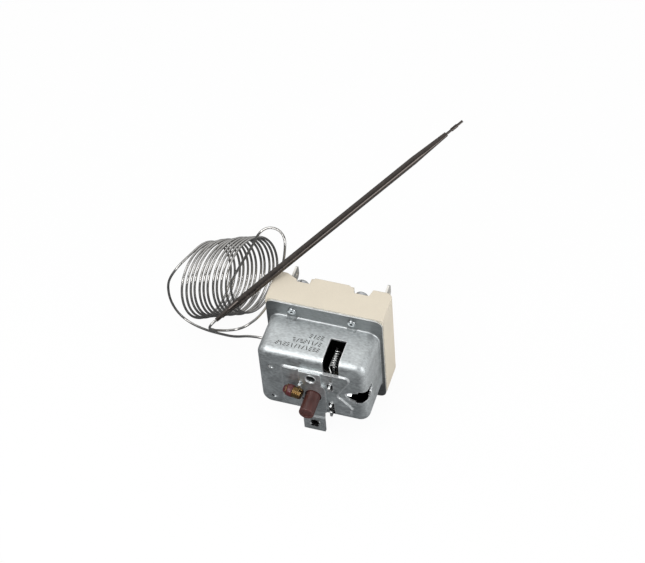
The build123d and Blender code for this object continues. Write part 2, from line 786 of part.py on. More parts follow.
def make_capsule():
    """Diaphragm capsule with a front boss and a threaded stud behind."""
    disc = rod(capsule_x, capsule_z, capsule_y, capsule_y + capsule_t, capsule_d)
    rim = disc.edges().filter_by(GeomType.CIRCLE)
    disc = fillet(rim, capsule_t * 0.4)
    boss = rod(capsule_x, capsule_z, boss_tip_y, capsule_y + 0.2, boss_d)
    boss = fillet(edges_at_y(boss, boss_tip_y), 0.8)
    stud = rod(capsule_x, capsule_z, capsule_y + 0.2, strap_y + strap_t + nut_t + 0.8, stud_d)
    shoulder = rod(capsule_x, capsule_z, capsule_y + capsule_t, strap_y, stud_d + 2)
    return disc + boss + stud + shoulder


def make_capsule_nut():
    """Hexagon nut that clamps the capsule's stud to its strap."""
    y0 = strap_y + strap_t
    nut = along_y(Pos(capsule_x, capsule_z) * RegularPolygon(nut_across / math.sqrt(3), 6), y0, y0 + nut_t)
    return nut - rod(capsule_x, capsule_z, y0 - 1, y0 + nut_t + 1, stud_d)


def strap_rivet_places():
    """Heights of the strap's two feet rivets."""
    reach = strap_half - strap_foot / 2
    return (capsule_z + reach, capsule_z - reach)


def make_strap():
    """Folded strap that carries the capsule off the insulating plate."""
    y0 = strap_y
    y1 = base_front
    w = strap_half - strap_foot
    side = outline([
        (y0, capsule_z - w), (y0, capsule_z + w), (y1 - strap_t, capsule_z + w),
        (y1 - strap_t, capsule_z + strap_half), (y1, capsule_z + strap_half),
        (y1, capsule_z + w - strap_t), (y0 + strap_t, capsule_z + w - strap_t),
        (y0 + strap_t, capsule_z - w + strap_t), (y1, capsule_z - w + strap_t),
        (y1, capsule_z - strap_half), (y1 - strap_t, capsule_z - strap_half),
        (y1 - strap_t, capsule_z - w)])
    strap = along_x(side, capsule_x - strap_w / 2, capsule_x + strap_w / 2)
    strap = strap - rod(capsule_x, capsule_z, y0 - 1, y0 + strap_t + 1, stud_d)
    for z in strap_rivet_places():
        strap = strap - rod(capsule_x, z, y1 - strap_t - 1, y1 + 1, strap_rivet_d)
    return strap


def make_strap_rivets():
    """Two rivets through the strap's feet and the insulating plate."""
    group = []
    for z in strap_rivet_places():
        shank = rod(capsule_x, z, base_front - strap_t - 0.1, base_front + plate_t, strap_rivet_d)
        head = rod(capsule_x, z, base_front - strap_t - 0.7, base_front - strap_t, strap_rivet_d + 1.2)
        group.append(shank + head)
    return Compound(children=group)


def make_inlet():
    """Capillary from the capsule's rim out through the can's left wall."""
    y = capsule_y + capsule_t / 2
    x_rim = capsule_x - capsule_d / 2
    path = FilletPolyline(
        (x_rim, y, capsule_z), (x_rim - 0.9, y, capsule_z), (can_left + 1.2, exit_y, exit_z),
        (exit_x, exit_y, exit_z), radius=0.35)
    return sweep(Plane(origin=path @ 0, z_dir=path % 0) * Circle(cord_d / 2), path=path)


def bend_radii(points):
    """Largest bend at each inner point: 0.45 of the shorter run over tan of half the turn."""
    radii = []
    for a, b, c in zip(points[:-2], points[1:-1], points[2:]):
        into = Vector(*b) - Vector(*a)
        out = Vector(*c) - Vector(*b)
        half_turn = math.radians(into.get_angle(out) / 2)
        radii.append(0.45 * min(into.length, out.length) / math.tan(half_turn))
    return radii


def make_tube(name, points):
    """Tube of straight runs joined by tangent arcs."""
    radii = bend_radii(points)
    path = FilletPolyline(*points, radius=radii)
    tube = sweep(Plane(origin=path @ 0, z_dir=path % 0) * Circle(cord_d / 2), path=path)
    expected = math.pi * cord_d ** 2 / 4 * path.length
    print(name, "length", round(path.length, 1), "radii", [round(r, 1) for r in radii])
    print(name, "volume", round(tube.volume, 2), "section x length", round(expected, 2))
    return tube


def make_coil():
    """Leaning coil of the capillary as one oblique ring."""
    shift = Vector(*coil_shift)
    start = Vector(*coil_centre) - shift * 0.5
    plane = Plane(origin=start, z_dir=coil_normal)
    ring = Circle(coil_r + coil_build / 2 - 0.35) - Circle(coil_r - coil_build / 2 - 0.35)
    return extrude(plane * ring, amount=shift.length, dir=shift)


def bulb_axis():
    """Near end, unit direction and length of the sensing bulb."""
    near = Vector(*bulb_near)
    way = Vector(*bulb_far) - near
    return near, way.normalized(), way.length


def make_bulb():
    """Sensing bulb: ferrule, neck, round body, pinched wedge and sealed tip."""
    near, way, length = bulb_axis()
    plane = Plane(origin=near, z_dir=way, x_dir=(way.Y, -way.X, 0))
    r = bulb_d / 2
    profile = make_face(Polyline(
        (0, 0), (ferrule_d / 2, 0), (ferrule_d / 2, ferrule_len), (neck_d / 2, ferrule_len),
        (neck_d / 2, neck_end), (r, shoulder_end), (r, body_end), (0, body_end), close=True))
    body = revolve(Plane.XZ * profile, axis=Axis.Z, revolution_arc=360)
    start = Plane.XY.offset(body_end) * Circle(r)
    finish = Plane.XY.offset(wedge_end) * RectangleRounded(bulb_d * 0.62, wedge_t, wedge_t * 0.4)
    wedge = loft([start, finish])
    tip = Pos(0, 0, (wedge_end + length) / 2 - 0.5) * Cylinder(tip_d / 2, length - wedge_end + 1)
    knot = Pos(0, 0, wedge_end + 4) * Cylinder(tip_d / 2 + 0.22, 3)
    return plane.location * (body + wedge + tip + knot)


os.makedirs("parts", exist_ok=True)
near_end, bulb_way, bulb_length = bulb_axis()
tail_route = tail_points + [tuple(near_end - bulb_way * bulb_lead_in), tuple(near_end)]

nodes = {
    "housing_can": make_can(),
    "base_block": make_base(),
    "insulating_plate": make_insulating_plate(),
    "flange_rivets": make_flange_rivets(),
    "mounting_bracket": make_bracket(),
    "calibration_screw": make_calibration_screw(),
    "lacquer_seal": make_lacquer(),
    "reset_pin": make_reset_pin(),
    "trip_lever": make_lever(),
    "tension_spring": make_tension_spring(),
    "contact_carrier": make_carrier(),
    "return_spring": make_return_spring(),
    "diaphragm_capsule": make_capsule(),
    "capsule_nut": make_capsule_nut(),
    "capsule_strap": make_strap(),
    "strap_rivets": make_strap_rivets(),
    "terminal_screws": make_terminal_screws(),
    "capillary_inlet": make_inlet(),
    "capillary_lead": make_tube("lead", lead_points),
    "capillary_coil": make_coil(),
    "capillary_tail": make_tube("tail", tail_route),
    "sensing_bulb": make_bulb(),
}
for i, side in enumerate(("left", "middle", "right")):
    nodes["contact_bridge_" + side] = make_bridge(pole_x[i])
    nodes["contact_leaf_" + side] = make_contact_leaf(pole_x[i])
    nodes["terminal_top_" + side] = make_terminal(i)
    nodes["terminal_bottom_" + side] = mirrored(make_terminal(i))

for name, solid in nodes.items():
    export_step(solid, os.path.join("parts", name + ".step"))
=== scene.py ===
import json
import math

import bmesh
import bpy
from mathutils import Matrix, Vector, noise


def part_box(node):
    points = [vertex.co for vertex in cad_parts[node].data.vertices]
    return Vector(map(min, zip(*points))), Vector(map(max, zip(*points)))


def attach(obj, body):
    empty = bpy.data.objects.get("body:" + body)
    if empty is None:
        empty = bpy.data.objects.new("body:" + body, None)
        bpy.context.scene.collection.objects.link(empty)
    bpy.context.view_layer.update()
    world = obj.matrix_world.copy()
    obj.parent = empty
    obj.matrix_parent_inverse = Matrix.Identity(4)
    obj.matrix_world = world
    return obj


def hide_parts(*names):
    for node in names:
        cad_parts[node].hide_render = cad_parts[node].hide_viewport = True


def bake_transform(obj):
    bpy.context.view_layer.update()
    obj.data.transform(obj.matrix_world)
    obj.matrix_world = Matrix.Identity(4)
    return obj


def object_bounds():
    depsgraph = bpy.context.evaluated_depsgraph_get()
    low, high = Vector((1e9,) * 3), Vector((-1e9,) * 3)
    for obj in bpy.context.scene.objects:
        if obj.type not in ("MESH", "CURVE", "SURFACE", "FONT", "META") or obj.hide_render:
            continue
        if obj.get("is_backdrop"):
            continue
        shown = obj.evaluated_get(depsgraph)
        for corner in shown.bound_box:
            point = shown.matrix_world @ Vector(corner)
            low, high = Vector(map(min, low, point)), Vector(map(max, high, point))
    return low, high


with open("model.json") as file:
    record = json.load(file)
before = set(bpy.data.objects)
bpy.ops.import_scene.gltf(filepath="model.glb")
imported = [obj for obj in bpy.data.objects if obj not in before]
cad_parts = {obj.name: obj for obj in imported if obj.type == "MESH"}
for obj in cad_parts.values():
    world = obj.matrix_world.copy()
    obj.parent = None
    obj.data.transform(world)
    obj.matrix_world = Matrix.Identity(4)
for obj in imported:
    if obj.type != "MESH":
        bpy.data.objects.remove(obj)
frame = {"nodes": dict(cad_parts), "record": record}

bl_info = {
    "name": "Capillary cut-out",
    "version": (1, 0, 0),
    "blender": (4, 5, 0),
    "location": "View3D > Sidebar > Cut-out",
    "description": "Finishes, wire, threads and stage of a capillary cut-out with a reset pin",
    "category": "Object",
}

MM = 0.001

# The capillary's route before and after its coil, in metres.
LEAD_POINTS = (
    (-0.0240, 0.0160, 0.0120),
    (-0.0295, 0.0160, 0.0120),
    (-0.0380, 0.0191, 0.0046),
    (-0.0475, 0.0256, -0.0043),
    (-0.0570, 0.0320, -0.0125),
    (-0.0652, 0.0358, -0.0152),
    (-0.0705, 0.0370, -0.0120),
    (-0.0733, 0.0375, -0.0050),
    (-0.0736, 0.0380, 0.0025),
    (-0.0726, 0.0388, 0.0074),
    (-0.0696, 0.0417, 0.0122),
    (-0.0666, 0.0468, 0.0138),
)
TAIL_POINTS = (
    (-0.0489, 0.0428, 0.0049),
    (-0.0455, 0.0476, 0.0121),
    (-0.0402, 0.0517, 0.0224),
    (-0.0376, 0.0530, 0.0292),
    (-0.0345, 0.0555, 0.0313),
    (-0.0300, 0.0558, 0.0312),
    (-0.0266, 0.0538, 0.0292),
    (-0.0259, 0.0506, 0.0249),
    (-0.0265, 0.0482, 0.0186),
    (-0.0262, 0.0385, 0.0165),
    (-0.0266, 0.0300, 0.0160),
    (-0.0282, 0.0229, 0.0159),
    (-0.0310, 0.0192, 0.0150),
    (-0.0333, 0.0179, 0.0136),
    (-0.0362, 0.0172, 0.0122),
    (-0.0391, 0.0159, 0.0123),
    (-0.0416, 0.0139, 0.0140),
    (-0.0425, 0.0113, 0.0169),
    (-0.0422, 0.0097, 0.0195),
    (-0.0426, 0.0079, 0.0217),
    (-0.0425, 0.0069, 0.0238),
)
BULB_NEAR = (-0.04015, 0.0092, 0.0265)
BULB_FAR = (0.03283, 0.1030, 0.06084)
BULB_LEAD_IN = 0.00234

# The coil: its middle, how far its turns lean from first to last, and its front and up directions.
COIL_CENTRE = (-0.05258, 0.05270, -0.00191)
COIL_LEAN = (0.01892, 0.00798, 0.0)
COIL_FRONT = (-0.2817, -0.9595, 0.0)
COIL_UP = (-0.2297, 0.0675, 0.9709)

# Steps through the noise: along a turn, from one turn's radius to the next, and each axis's own place.
COIL_WANDER = 0.9
COIL_SPREAD = 1.7
COIL_AXES = (0.3, 11.3, 23.3)

# The calibration screw's ends, in metres. It stops short of its left end, inside the lacquer.
SCREW_RIGHT = (-0.0030, -0.0030, 0.0074)
SCREW_LEFT = (-0.0106, -0.0020, 0.0078)
SCREW_SHORT = 1.38 * MM

# The taper at the screw's right end: how long and how deep it is.
TAPER_LENGTH = 0.5 * MM
TAPER_DEPTH = 0.25 * MM

# The thread's form: the steepness of its flanks and how much of its crest is flat.
THREAD_SLOPE = 1.25
THREAD_FLAT = 0.12

# The driver slot, as the corners of its cutter in millimetres from the screw's right end.
SLOT_CUT = ((-0.35, -3.0, -1.0), (0.35, 3.0, 1.0))

# Outline of the locking lacquer: depth from its tip and radius, in millimetres.
LACQUER_PROFILE = (
    (0.0, 0.15), (0.05, 0.9), (0.35, 1.45), (0.9, 1.75), (1.5, 1.92),
    (1.8, 2.2), (2.1, 2.40), (2.8, 2.44), (3.5, 2.44), (4.0, 2.36),
)

# How uneven the lacquer is, as a share of its radius, then how far its edge runs and from what depth, in
# millimetres.
LACQUER_UNEVEN = 0.025
LACQUER_RUN = 0.9
LACQUER_RUN_FROM = 2.0

# The lug behind the can's corner slot: its outline as Y and Z, and its sides' X, in millimetres.
STOP_PROFILE = ((2.35, 5.3), (3.6, 6.6), (3.75, 6.4), (2.5, 5.1))
STOP_SIDES = (12.5, 15.3)

# What comes off the bracket, as corners in millimetres: the fork in front of the screw, then two nicks.
BRACKET_CUTS = (
    ((-5.3, -4.5, 0.9), (-3.5, -1.2, 10.7)),
    ((-5.25, -1.3, 10.3), (-4.75, 0.9, 12.1)),
    ((-5.1, -1.3, 0.6), (-4.3, 0.9, 1.5)),
)

# The photograph's camera.
CAMERA_PLACE = (0.190585, -0.460200, 0.664491)
CAMERA_RIGHT = (0.95210, 0.29992, -0.05957)
CAMERA_UP = (-0.19406, 0.74322, 0.64029)
CAMERA_BACK = (0.23631, -0.59806, 0.76582)
CAMERA_LENS = 119.54
CAMERA_SENSOR = 36.0

# The snap spring's axis, the ends of its turns and the end that rides on the lever.
SPRING_X = 8.6 * MM
SPRING_Z = 0.0210
SPRING_FRONT = 0.0026
SPRING_BACK = 10.4 * MM

# Its hook's tip, its hook as X, distance behind the window's lip and Z, and its eye, in millimetres.
SPRING_TIP = (7.6, 2.4, 13.9)
SPRING_HOOK = ((7.6, 0.0, 13.9), (7.7, 0.0, 15.0), (8.3, 0.0, 16.8), (8.3, 0.0, 18.4), (8.2, 0.5, 20.2))
SPRING_EYE = ((8.9, 11.0, 19.9), (8.4, 11.6, 19.0), (6.5, 11.65, 19.0))

# How far the fixing holes lie above and below the origin.
HOLE_HEIGHT = 0.014

# The painted shade in a fixing hole's bore: how wide it is, where it starts and how strong it is.
BORE_REACH = 0.00172
BORE_START = 0.25 * MM
BORE_SHADE = 0.85

# The thread crests in a fixing hole: their distance, their half thickness and the place of the first.
CREST_PITCH = 0.45 * MM
CREST_RIDGE = 0.14 * MM
CREST_START = 0.42 * MM

# The raised rim round a fixing hole: its radius, its half thickness and its place.
RIM_RADIUS = 0.0023
RIM_RIDGE = 0.16 * MM
RIM_START = 0.02 * MM

# Height of the can's top, how far above it the ink's middle lies, and how thick the ink is.
CAN_TOP = 0.0248
INK_LIFT = 0.012 * MM
INK_THICKNESS = 0.00001

# The rows of ink marks: how many marks and the row's Y in millimetres, and the X where each row ends.
MARK_ROWS = ((4, 12.3), (8, 9.2), (12, 6.3))
MARK_RIGHT = 1.7 * MM

# A mark is a stroke below this draw and a stack of dashes above it.
STROKE_SHARE = 0.45

# Width and spacing of the dashes in a stack, as shares of a mark's height, and how far a mark is turned.
DASH_WIDTH = 0.52
DASH_STEP = 0.4
MARK_TURN = (-0.6, 0.3)

# Colour of a face that lies in deep shadow.
SHADOW = (0.007, 0.007, 0.008, 1.0)

# A face this far off that looks in at the can's middle takes the painted shade of the can's inside.
WALL_REACH = 0.0065

# The flange's front face: how near the can's rear it lies, how squarely it faces front, and its painted
# shade.
FLANGE_REACH = 0.0015
FLANGE_FACING = -0.7
FLANGE_SHADE = 0.6

# The floor's gap under the part, its own colour and its colour in metal.
FLOOR_GAP = 0.00005
PAPER = (0.85, 0.85, 0.85, 1.0)
PAPER_IN_METAL = (0.12, 0.125, 0.13, 1.0)

# Over this span of X the floor's white in metal rises to its value beside the part.
METAL_SPAN = (0.02, 0.06)
METAL_WHITE = 0.7

# The sky is brightest along this direction, and is white from this share of it. Its other side is dim.
SKY_TOWARDS = (-0.15, 0.5, 0.6)
SKY_FULL = 0.8
SKY_DIM = (0.22, 0.23, 0.24, 1.0)
WHITE = (1.0, 1.0, 1.0, 1.0)

# The softboxes: name, place, sides and power. All face one point of the part.
LIGHTS = (
    ("key", (-0.38, -0.30, 0.72), (0.40, 0.40), 2.0),
    ("front card", (-0.115, -0.385, 0.30), (0.20, 0.12), 0.7),
    ("fill", (0.75, -0.25, 0.35), (0.5, 0.5), 3.0),
)
LIGHT_TARGET = (0.0, 0.01, 0.01)


class CordSettings(bpy.types.PropertyGroup):
    """Sizes of the capillary and its coil."""

    diameter: bpy.props.FloatProperty(
        name="Diameter", description="Outer diameter of the tube", default=0.001, unit="LENGTH")
    length: bpy.props.FloatProperty(
        name="Length", description="Length of the free tube from wall to bulb", default=1.40, unit="LENGTH")
    coil_radius: bpy.props.FloatProperty(
        name="Coil radius", description="Mean radius of the coil", default=0.01635, unit="LENGTH")
    turns: bpy.props.IntProperty(
        name="Turns", description="Turns of the coil", default=12, subtype="UNSIGNED")
    points_per_turn: bpy.props.IntProperty(
        name="Points in a turn", description="Control points laid in one turn",
        default=16, subtype="UNSIGNED")
    looseness: bpy.props.FloatProperty(
        name="Looseness", description="How far a turn may stray from its place",
        default=0.00035, unit="LENGTH")
    seed: bpy.props.FloatProperty(
        name="Seed", description="Start value of the turns' looseness", default=8.3, unit="NONE")


class SpringSettings(bpy.types.PropertyGroup):
    """Sizes of the snap spring behind the can's window."""

    radius: bpy.props.FloatProperty(
        name="Coil radius", description="Mean radius of the turns", default=0.00138, unit="LENGTH")
    wire: bpy.props.FloatProperty(
        name="Wire diameter", description="Diameter of the spring wire", default=0.00036, unit="LENGTH")
    turns: bpy.props.FloatProperty(
        name="Turns", description="Turns of the snap spring", default=7.0, unit="NONE")


class ThreadSettings(bpy.types.PropertyGroup):
    """Sizes of the calibration screw's and the fixing holes' threads."""

    pitch: bpy.props.FloatProperty(
        name="Pitch", description="Distance between two crests", default=0.0007, unit="LENGTH")
    depth: bpy.props.FloatProperty(
        name="Depth", description="Depth of the thread", default=0.00034, unit="LENGTH")
    outer_radius: bpy.props.FloatProperty(
        name="Outer radius", description="Outer radius of the calibration screw",
        default=0.0023, unit="LENGTH")
    hole_radius: bpy.props.FloatProperty(
        name="Core radius of a hole", description="Core radius of a fixing hole",
        default=0.00165, unit="LENGTH")
    rings: bpy.props.IntProperty(
        name="Threads seen in a hole", description="Crests laid in one hole", default=2, subtype="UNSIGNED")


class MarkSettings(bpy.types.PropertyGroup):
    """Sizes of the plain ink marks on the can."""

    stroke: bpy.props.FloatProperty(
        name="Stroke", description="Width of one ink stroke", default=0.00033, unit="LENGTH")
    pitch: bpy.props.FloatProperty(
        name="Pitch", description="Distance between two marks", default=0.00148, unit="LENGTH")
    height: bpy.props.FloatProperty(
        name="Height", description="Height of one mark", default=0.0019, unit="LENGTH")
    seed: bpy.props.IntProperty(
        name="Seed", description="Start value of the choice of marks", default=11, subtype="UNSIGNED")


class ColourSettings(bpy.types.PropertyGroup):
    """Colours of the finishes."""

    zinc: bpy.props.FloatVectorProperty(
        name="Zinc", description="Colour of the zinc-plated sheet", subtype="COLOR",
        default=(0.61, 0.64, 0.645))
    moulding: bpy.props.FloatVectorProperty(
        name="Moulding", description="Colour of the moulded base", subtype="COLOR",
        default=(0.70, 0.63, 0.51))
    pin: bpy.props.FloatVectorProperty(
        name="Reset pin", description="Colour of the reset pin", subtype="COLOR",
        default=(0.068, 0.021, 0.017))
    brass: bpy.props.FloatVectorProperty(
        name="Brass", description="Colour of the calibration screw", subtype="COLOR",
        default=(0.27, 0.18, 0.080))
    lacquer: bpy.props.FloatVectorProperty(
        name="Lacquer", description="Colour of the locking lacquer", subtype="COLOR",
        default=(0.080, 0.012, 0.013))
    wire: bpy.props.FloatVectorProperty(
        name="Capillary", description="Colour of the capillary", subtype="COLOR",
        default=(0.43, 0.42, 0.405))
    bulb: bpy.props.FloatVectorProperty(
        name="Bulb", description="Colour of the bulb", subtype="COLOR",
        default=(0.060, 0.050, 0.044))


class StageSettings(bpy.types.PropertyGroup):
    """Floor and sky."""

    floor_size: bpy.props.FloatProperty(
        name="Floor size", description="Side of the square floor", default=6.0, unit="LENGTH")
    floor_white: bpy.props.FloatProperty(
        name="Floor's own white", description="How much of its own white the floor shows the camera",
        default=0.95, subtype="FACTOR")
    floor_in_metal: bpy.props.FloatProperty(
        name="Floor's white in metal",
        description="How much white the floor shows in metal in front of the part",
        default=0.05, subtype="FACTOR")
    world: bpy.props.FloatProperty(
        name="Sky strength", description="Strength of the soft sky", default=1.0, unit="NONE")


class Wiring:
    """Adds, sets and joins nodes in one node tree."""

    def __init__(self, tree):
        self.tree = tree
        self.column = 0

    def add(self, kind, settings=None, **inputs):
        """New node with its settings and input values; a socket given as a value is joined."""
        node = self.tree.nodes.new(kind)
        node.location = (self.column, 0)
        self.column += 190
        for key, value in (settings or {}).items():
            setattr(node, key, value)
        for key, value in inputs.items():
            self.feed(node.inputs[key.replace("_", " ")], value)
        return node

    def feed(self, socket, value):
        """Sets a socket, or joins it to the socket given as its value."""
        if isinstance(value, bpy.types.NodeSocket):
            self.tree.links.new(value, socket)
        else:
            socket.default_value = value

    def math(self, operation, a, b=0.0, clamp=False):
        """Result socket of one Math node."""
        node = self.add("ShaderNodeMath", {"operation": operation, "use_clamp": clamp})
        self.feed(node.inputs[0], a)
        self.feed(node.inputs[1], b)
        return node.outputs[0]

    def vector(self, operation, a, b=(0.0, 0.0, 0.0)):
        """Vector Math node with its inputs."""
        node = self.add("ShaderNodeVectorMath", {"operation": operation})
        self.feed(node.inputs[0], a)
        self.feed(node.inputs[1], b)
        return node

    def mix(self, factor, a, b):
        """Result socket of one colour Mix node."""
        node = self.add("ShaderNodeMix", {"data_type": "RGBA"})
        self.feed(node.inputs[0], factor)
        self.feed(node.inputs[6], a)
        self.feed(node.inputs[7], b)
        return node.outputs[2]

    def span(self, value, low, high, to_low=0.0, to_high=1.0):
        """Value moved from one range to another and kept inside it."""
        node = self.add("ShaderNodeMapRange", {"clamp": True})
        self.feed(node.inputs[0], value)
        for index, number in enumerate((low, high, to_low, to_high), start=1):
            self.feed(node.inputs[index], number)
        return node.outputs[0]


def socket(tree, name, side, kind, default=None):
    """New socket on a node group's own face."""
    made = tree.interface.new_socket(name=name, in_out=side, socket_type=kind)
    if default is not None:
        made.default_value = default
    return made


def grain_group():
    """Shader group: stretched noise as a factor, and as a bump over softened edges."""
    name = "Grain"
    if name in bpy.data.node_groups:
        return bpy.data.node_groups[name]
    tree = bpy.data.node_groups.new(name, "ShaderNodeTree")
    socket(tree, "Stretch", "INPUT", "NodeSocketVector", (1.0, 1.0, 1.0))
    socket(tree, "Scale", "INPUT", "NodeSocketFloat", 900.0)
    socket(tree, "Depth", "INPUT", "NodeSocketFloat", 0.2)
    socket(tree, "Edge", "INPUT", "NodeSocketFloat", 0.0002)
    socket(tree, "Factor", "OUTPUT", "NodeSocketFloat")
    socket(tree, "Normal", "OUTPUT", "NodeSocketVector")
    w = Wiring(tree)
    given = w.add("NodeGroupInput")
    place = w.add("ShaderNodeTexCoord")
    mapping = w.add("ShaderNodeMapping", Vector=place.outputs["Object"], Scale=given.outputs["Stretch"])
    texture = w.add("ShaderNodeTexNoise", Vector=mapping.outputs[0], Scale=given.outputs["Scale"], Detail=5.0)
    soft = w.add("ShaderNodeBevel", {"samples": 4}, Radius=given.outputs["Edge"])
    bump = w.add("ShaderNodeBump", Height=texture.outputs[0], Strength=given.outputs["Depth"],
                 Distance=0.00006, Normal=soft.outputs[0])
    result = w.add("NodeGroupOutput")
    tree.links.new(texture.outputs[0], result.inputs["Factor"])
    tree.links.new(bump.outputs[0], result.inputs["Normal"])
    return tree


def edge_mask_group():
    """Shader group: a broken mask along convex and concave edges, for worn edges with painted highlight."""
    name = "Edge wear"
    if name in bpy.data.node_groups:
        return bpy.data.node_groups[name]
    tree = bpy.data.node_groups.new(name, "ShaderNodeTree")
    socket(tree, "Radius", "INPUT", "NodeSocketFloat", 0.0003)
    socket(tree, "Amount", "INPUT", "NodeSocketFloat", 1.0)
    socket(tree, "Factor", "OUTPUT", "NodeSocketFloat")
    w = Wiring(tree)
    given = w.add("NodeGroupInput")
    shape = w.add("ShaderNodeNewGeometry")
    soft = w.add("ShaderNodeBevel", {"samples": 6}, Radius=given.outputs["Radius"])
    match = w.vector("DOT_PRODUCT", shape.outputs["Normal"], soft.outputs[0])
    bend = w.span(match.outputs["Value"], 0.998, 0.95)
    place = w.add("ShaderNodeTexCoord")
    patches = w.add("ShaderNodeTexNoise", Vector=place.outputs["Object"], Scale=420.0, Detail=3.0)
    broken = w.math("MULTIPLY", bend, w.span(patches.outputs[0], 0.35, 0.6, 0.45, 1.0))
    result = w.add("NodeGroupOutput")
    tree.links.new(w.math("MULTIPLY", broken, given.outputs["Amount"], True), result.inputs["Factor"])
    return tree


def rgba(colour, factor=1.0):
    """Colour with its brightness scaled, and alpha."""
    return tuple(min(1.0, c * factor) for c in colour[:3]) + (1.0,)


def use_group(w, tree, **inputs):
    """Adds a shader group to a material's tree."""
    node = w.add("ShaderNodeGroup", {"node_tree": tree})
    for key, value in inputs.items():
        w.feed(node.inputs[key], value)
    return node


def finish(name, colour, roughness, metallic, grain, mottle=0.12, wear_and_highlight=0.0, edge=0.00015, coat=0.0,
           painted_shade_mask=None):
    """Procedural finish: mottled colour, uneven roughness, grain, worn edges with painted highlight, painted
    shade.
    """
    material = bpy.data.materials.new(name)
    material.use_nodes = True
    tree = material.node_tree
    tree.nodes.clear()
    w = Wiring(tree)
    scale, stretch, depth = grain
    fine = use_group(w, grain_group(), Scale=scale, Stretch=stretch, Depth=depth, Edge=edge)
    place = w.add("ShaderNodeTexCoord")
    clouds = w.add("ShaderNodeTexNoise", Vector=place.outputs["Object"], Scale=130.0, Detail=6.0,
                   Roughness=0.65)
    patch = w.span(clouds.outputs[0], 0.3, 0.7)
    speck = w.span(fine.outputs["Factor"], 0.32, 0.68)
    tone = w.math("ADD", w.math("MULTIPLY", patch, 0.45), w.math("MULTIPLY", speck, 0.55))
    shade = w.mix(tone, rgba(colour, 1.0 - mottle), rgba(colour, 1.0 + mottle))
    rough = w.span(tone, 0.2, 0.8, roughness - 0.07, roughness + 0.09)
    # Worn edges with painted highlight: masked edges turn up to nearly twice as bright and less rough.
    if wear_and_highlight > 0:
        rubbed_and_lit = use_group(w, edge_mask_group(), Radius=0.0007, Amount=wear_and_highlight)
        shade = w.mix(rubbed_and_lit.outputs["Factor"], shade, rgba(colour, 1.9))
        rough = w.math("SUBTRACT", rough, w.math("MULTIPLY", rubbed_and_lit.outputs["Factor"], 0.12), True)
    # Painted shade: where the mask is full, the colour turns into the shadow colour.
    if painted_shade_mask is not None:
        shade = w.mix(painted_shade_mask(w, place.outputs["Object"]), shade, SHADOW)
    surface = w.add("ShaderNodeBsdfPrincipled", Base_Color=shade, Roughness=rough, Metallic=metallic,
                    Normal=fine.outputs["Normal"], Coat_Weight=coat)
    output = w.add("ShaderNodeOutputMaterial")
    tree.links.new(surface.outputs[0], output.inputs[0])
    return material


def painted_shade_inside(w, place):
    """Painted shade on the can's faces: its inside, the fixing holes' bores and the flange's front."""
    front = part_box("mounting_bracket")[0][1]
    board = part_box("insulating_plate")
    shape = w.add("ShaderNodeNewGeometry")
    out = w.vector("SUBTRACT", place, (0.0, (front + board[1][1]) / 2, (board[0][2] + board[1][2]) / 2))
    facing_out = w.vector("DOT_PRODUCT", out.outputs[0], shape.outputs["True Normal"])
    parts = w.add("ShaderNodeSeparateXYZ", Vector=place)
    before = w.math("LESS_THAN", parts.outputs[1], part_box("housing_can")[1][1] - FLANGE_REACH)
    walls = w.math("MULTIPLY", before, w.math("LESS_THAN", facing_out.outputs["Value"], -WALL_REACH))
    height = w.math("SUBTRACT", w.math("ABSOLUTE", parts.outputs[2]), HOLE_HEIGHT)
    away = w.add("ShaderNodeCombineXYZ", X=parts.outputs[0], Y=height)
    span = w.vector("LENGTH", away.outputs[0])
    bore = w.math("LESS_THAN", span.outputs["Value"], BORE_REACH)
    deep = w.math("GREATER_THAN", parts.outputs[1], BORE_START)
    facing = w.add("ShaderNodeSeparateXYZ", Vector=shape.outputs["True Normal"])
    forward = w.math("LESS_THAN", facing.outputs[1], FLANGE_FACING)
    corner = w.math("MULTIPLY", w.math("MULTIPLY", w.math("SUBTRACT", 1.0, before), forward), FLANGE_SHADE)
    hole = w.math("MULTIPLY", w.math("MULTIPLY", bore, deep), BORE_SHADE)
    return w.math("MAXIMUM", w.math("MAXIMUM", walls, corner), hole)


def painted_shade_coils(w, place):
    """Painted shade: 1 on the far halves of the snap spring's turns, 0 on the rest."""
    parts = w.add("ShaderNodeSeparateXYZ", Vector=place)
    under = w.math("LESS_THAN", parts.outputs[2], SPRING_Z)
    return w.math("MULTIPLY", under, w.math("GREATER_THAN", parts.outputs[1], SPRING_FRONT))


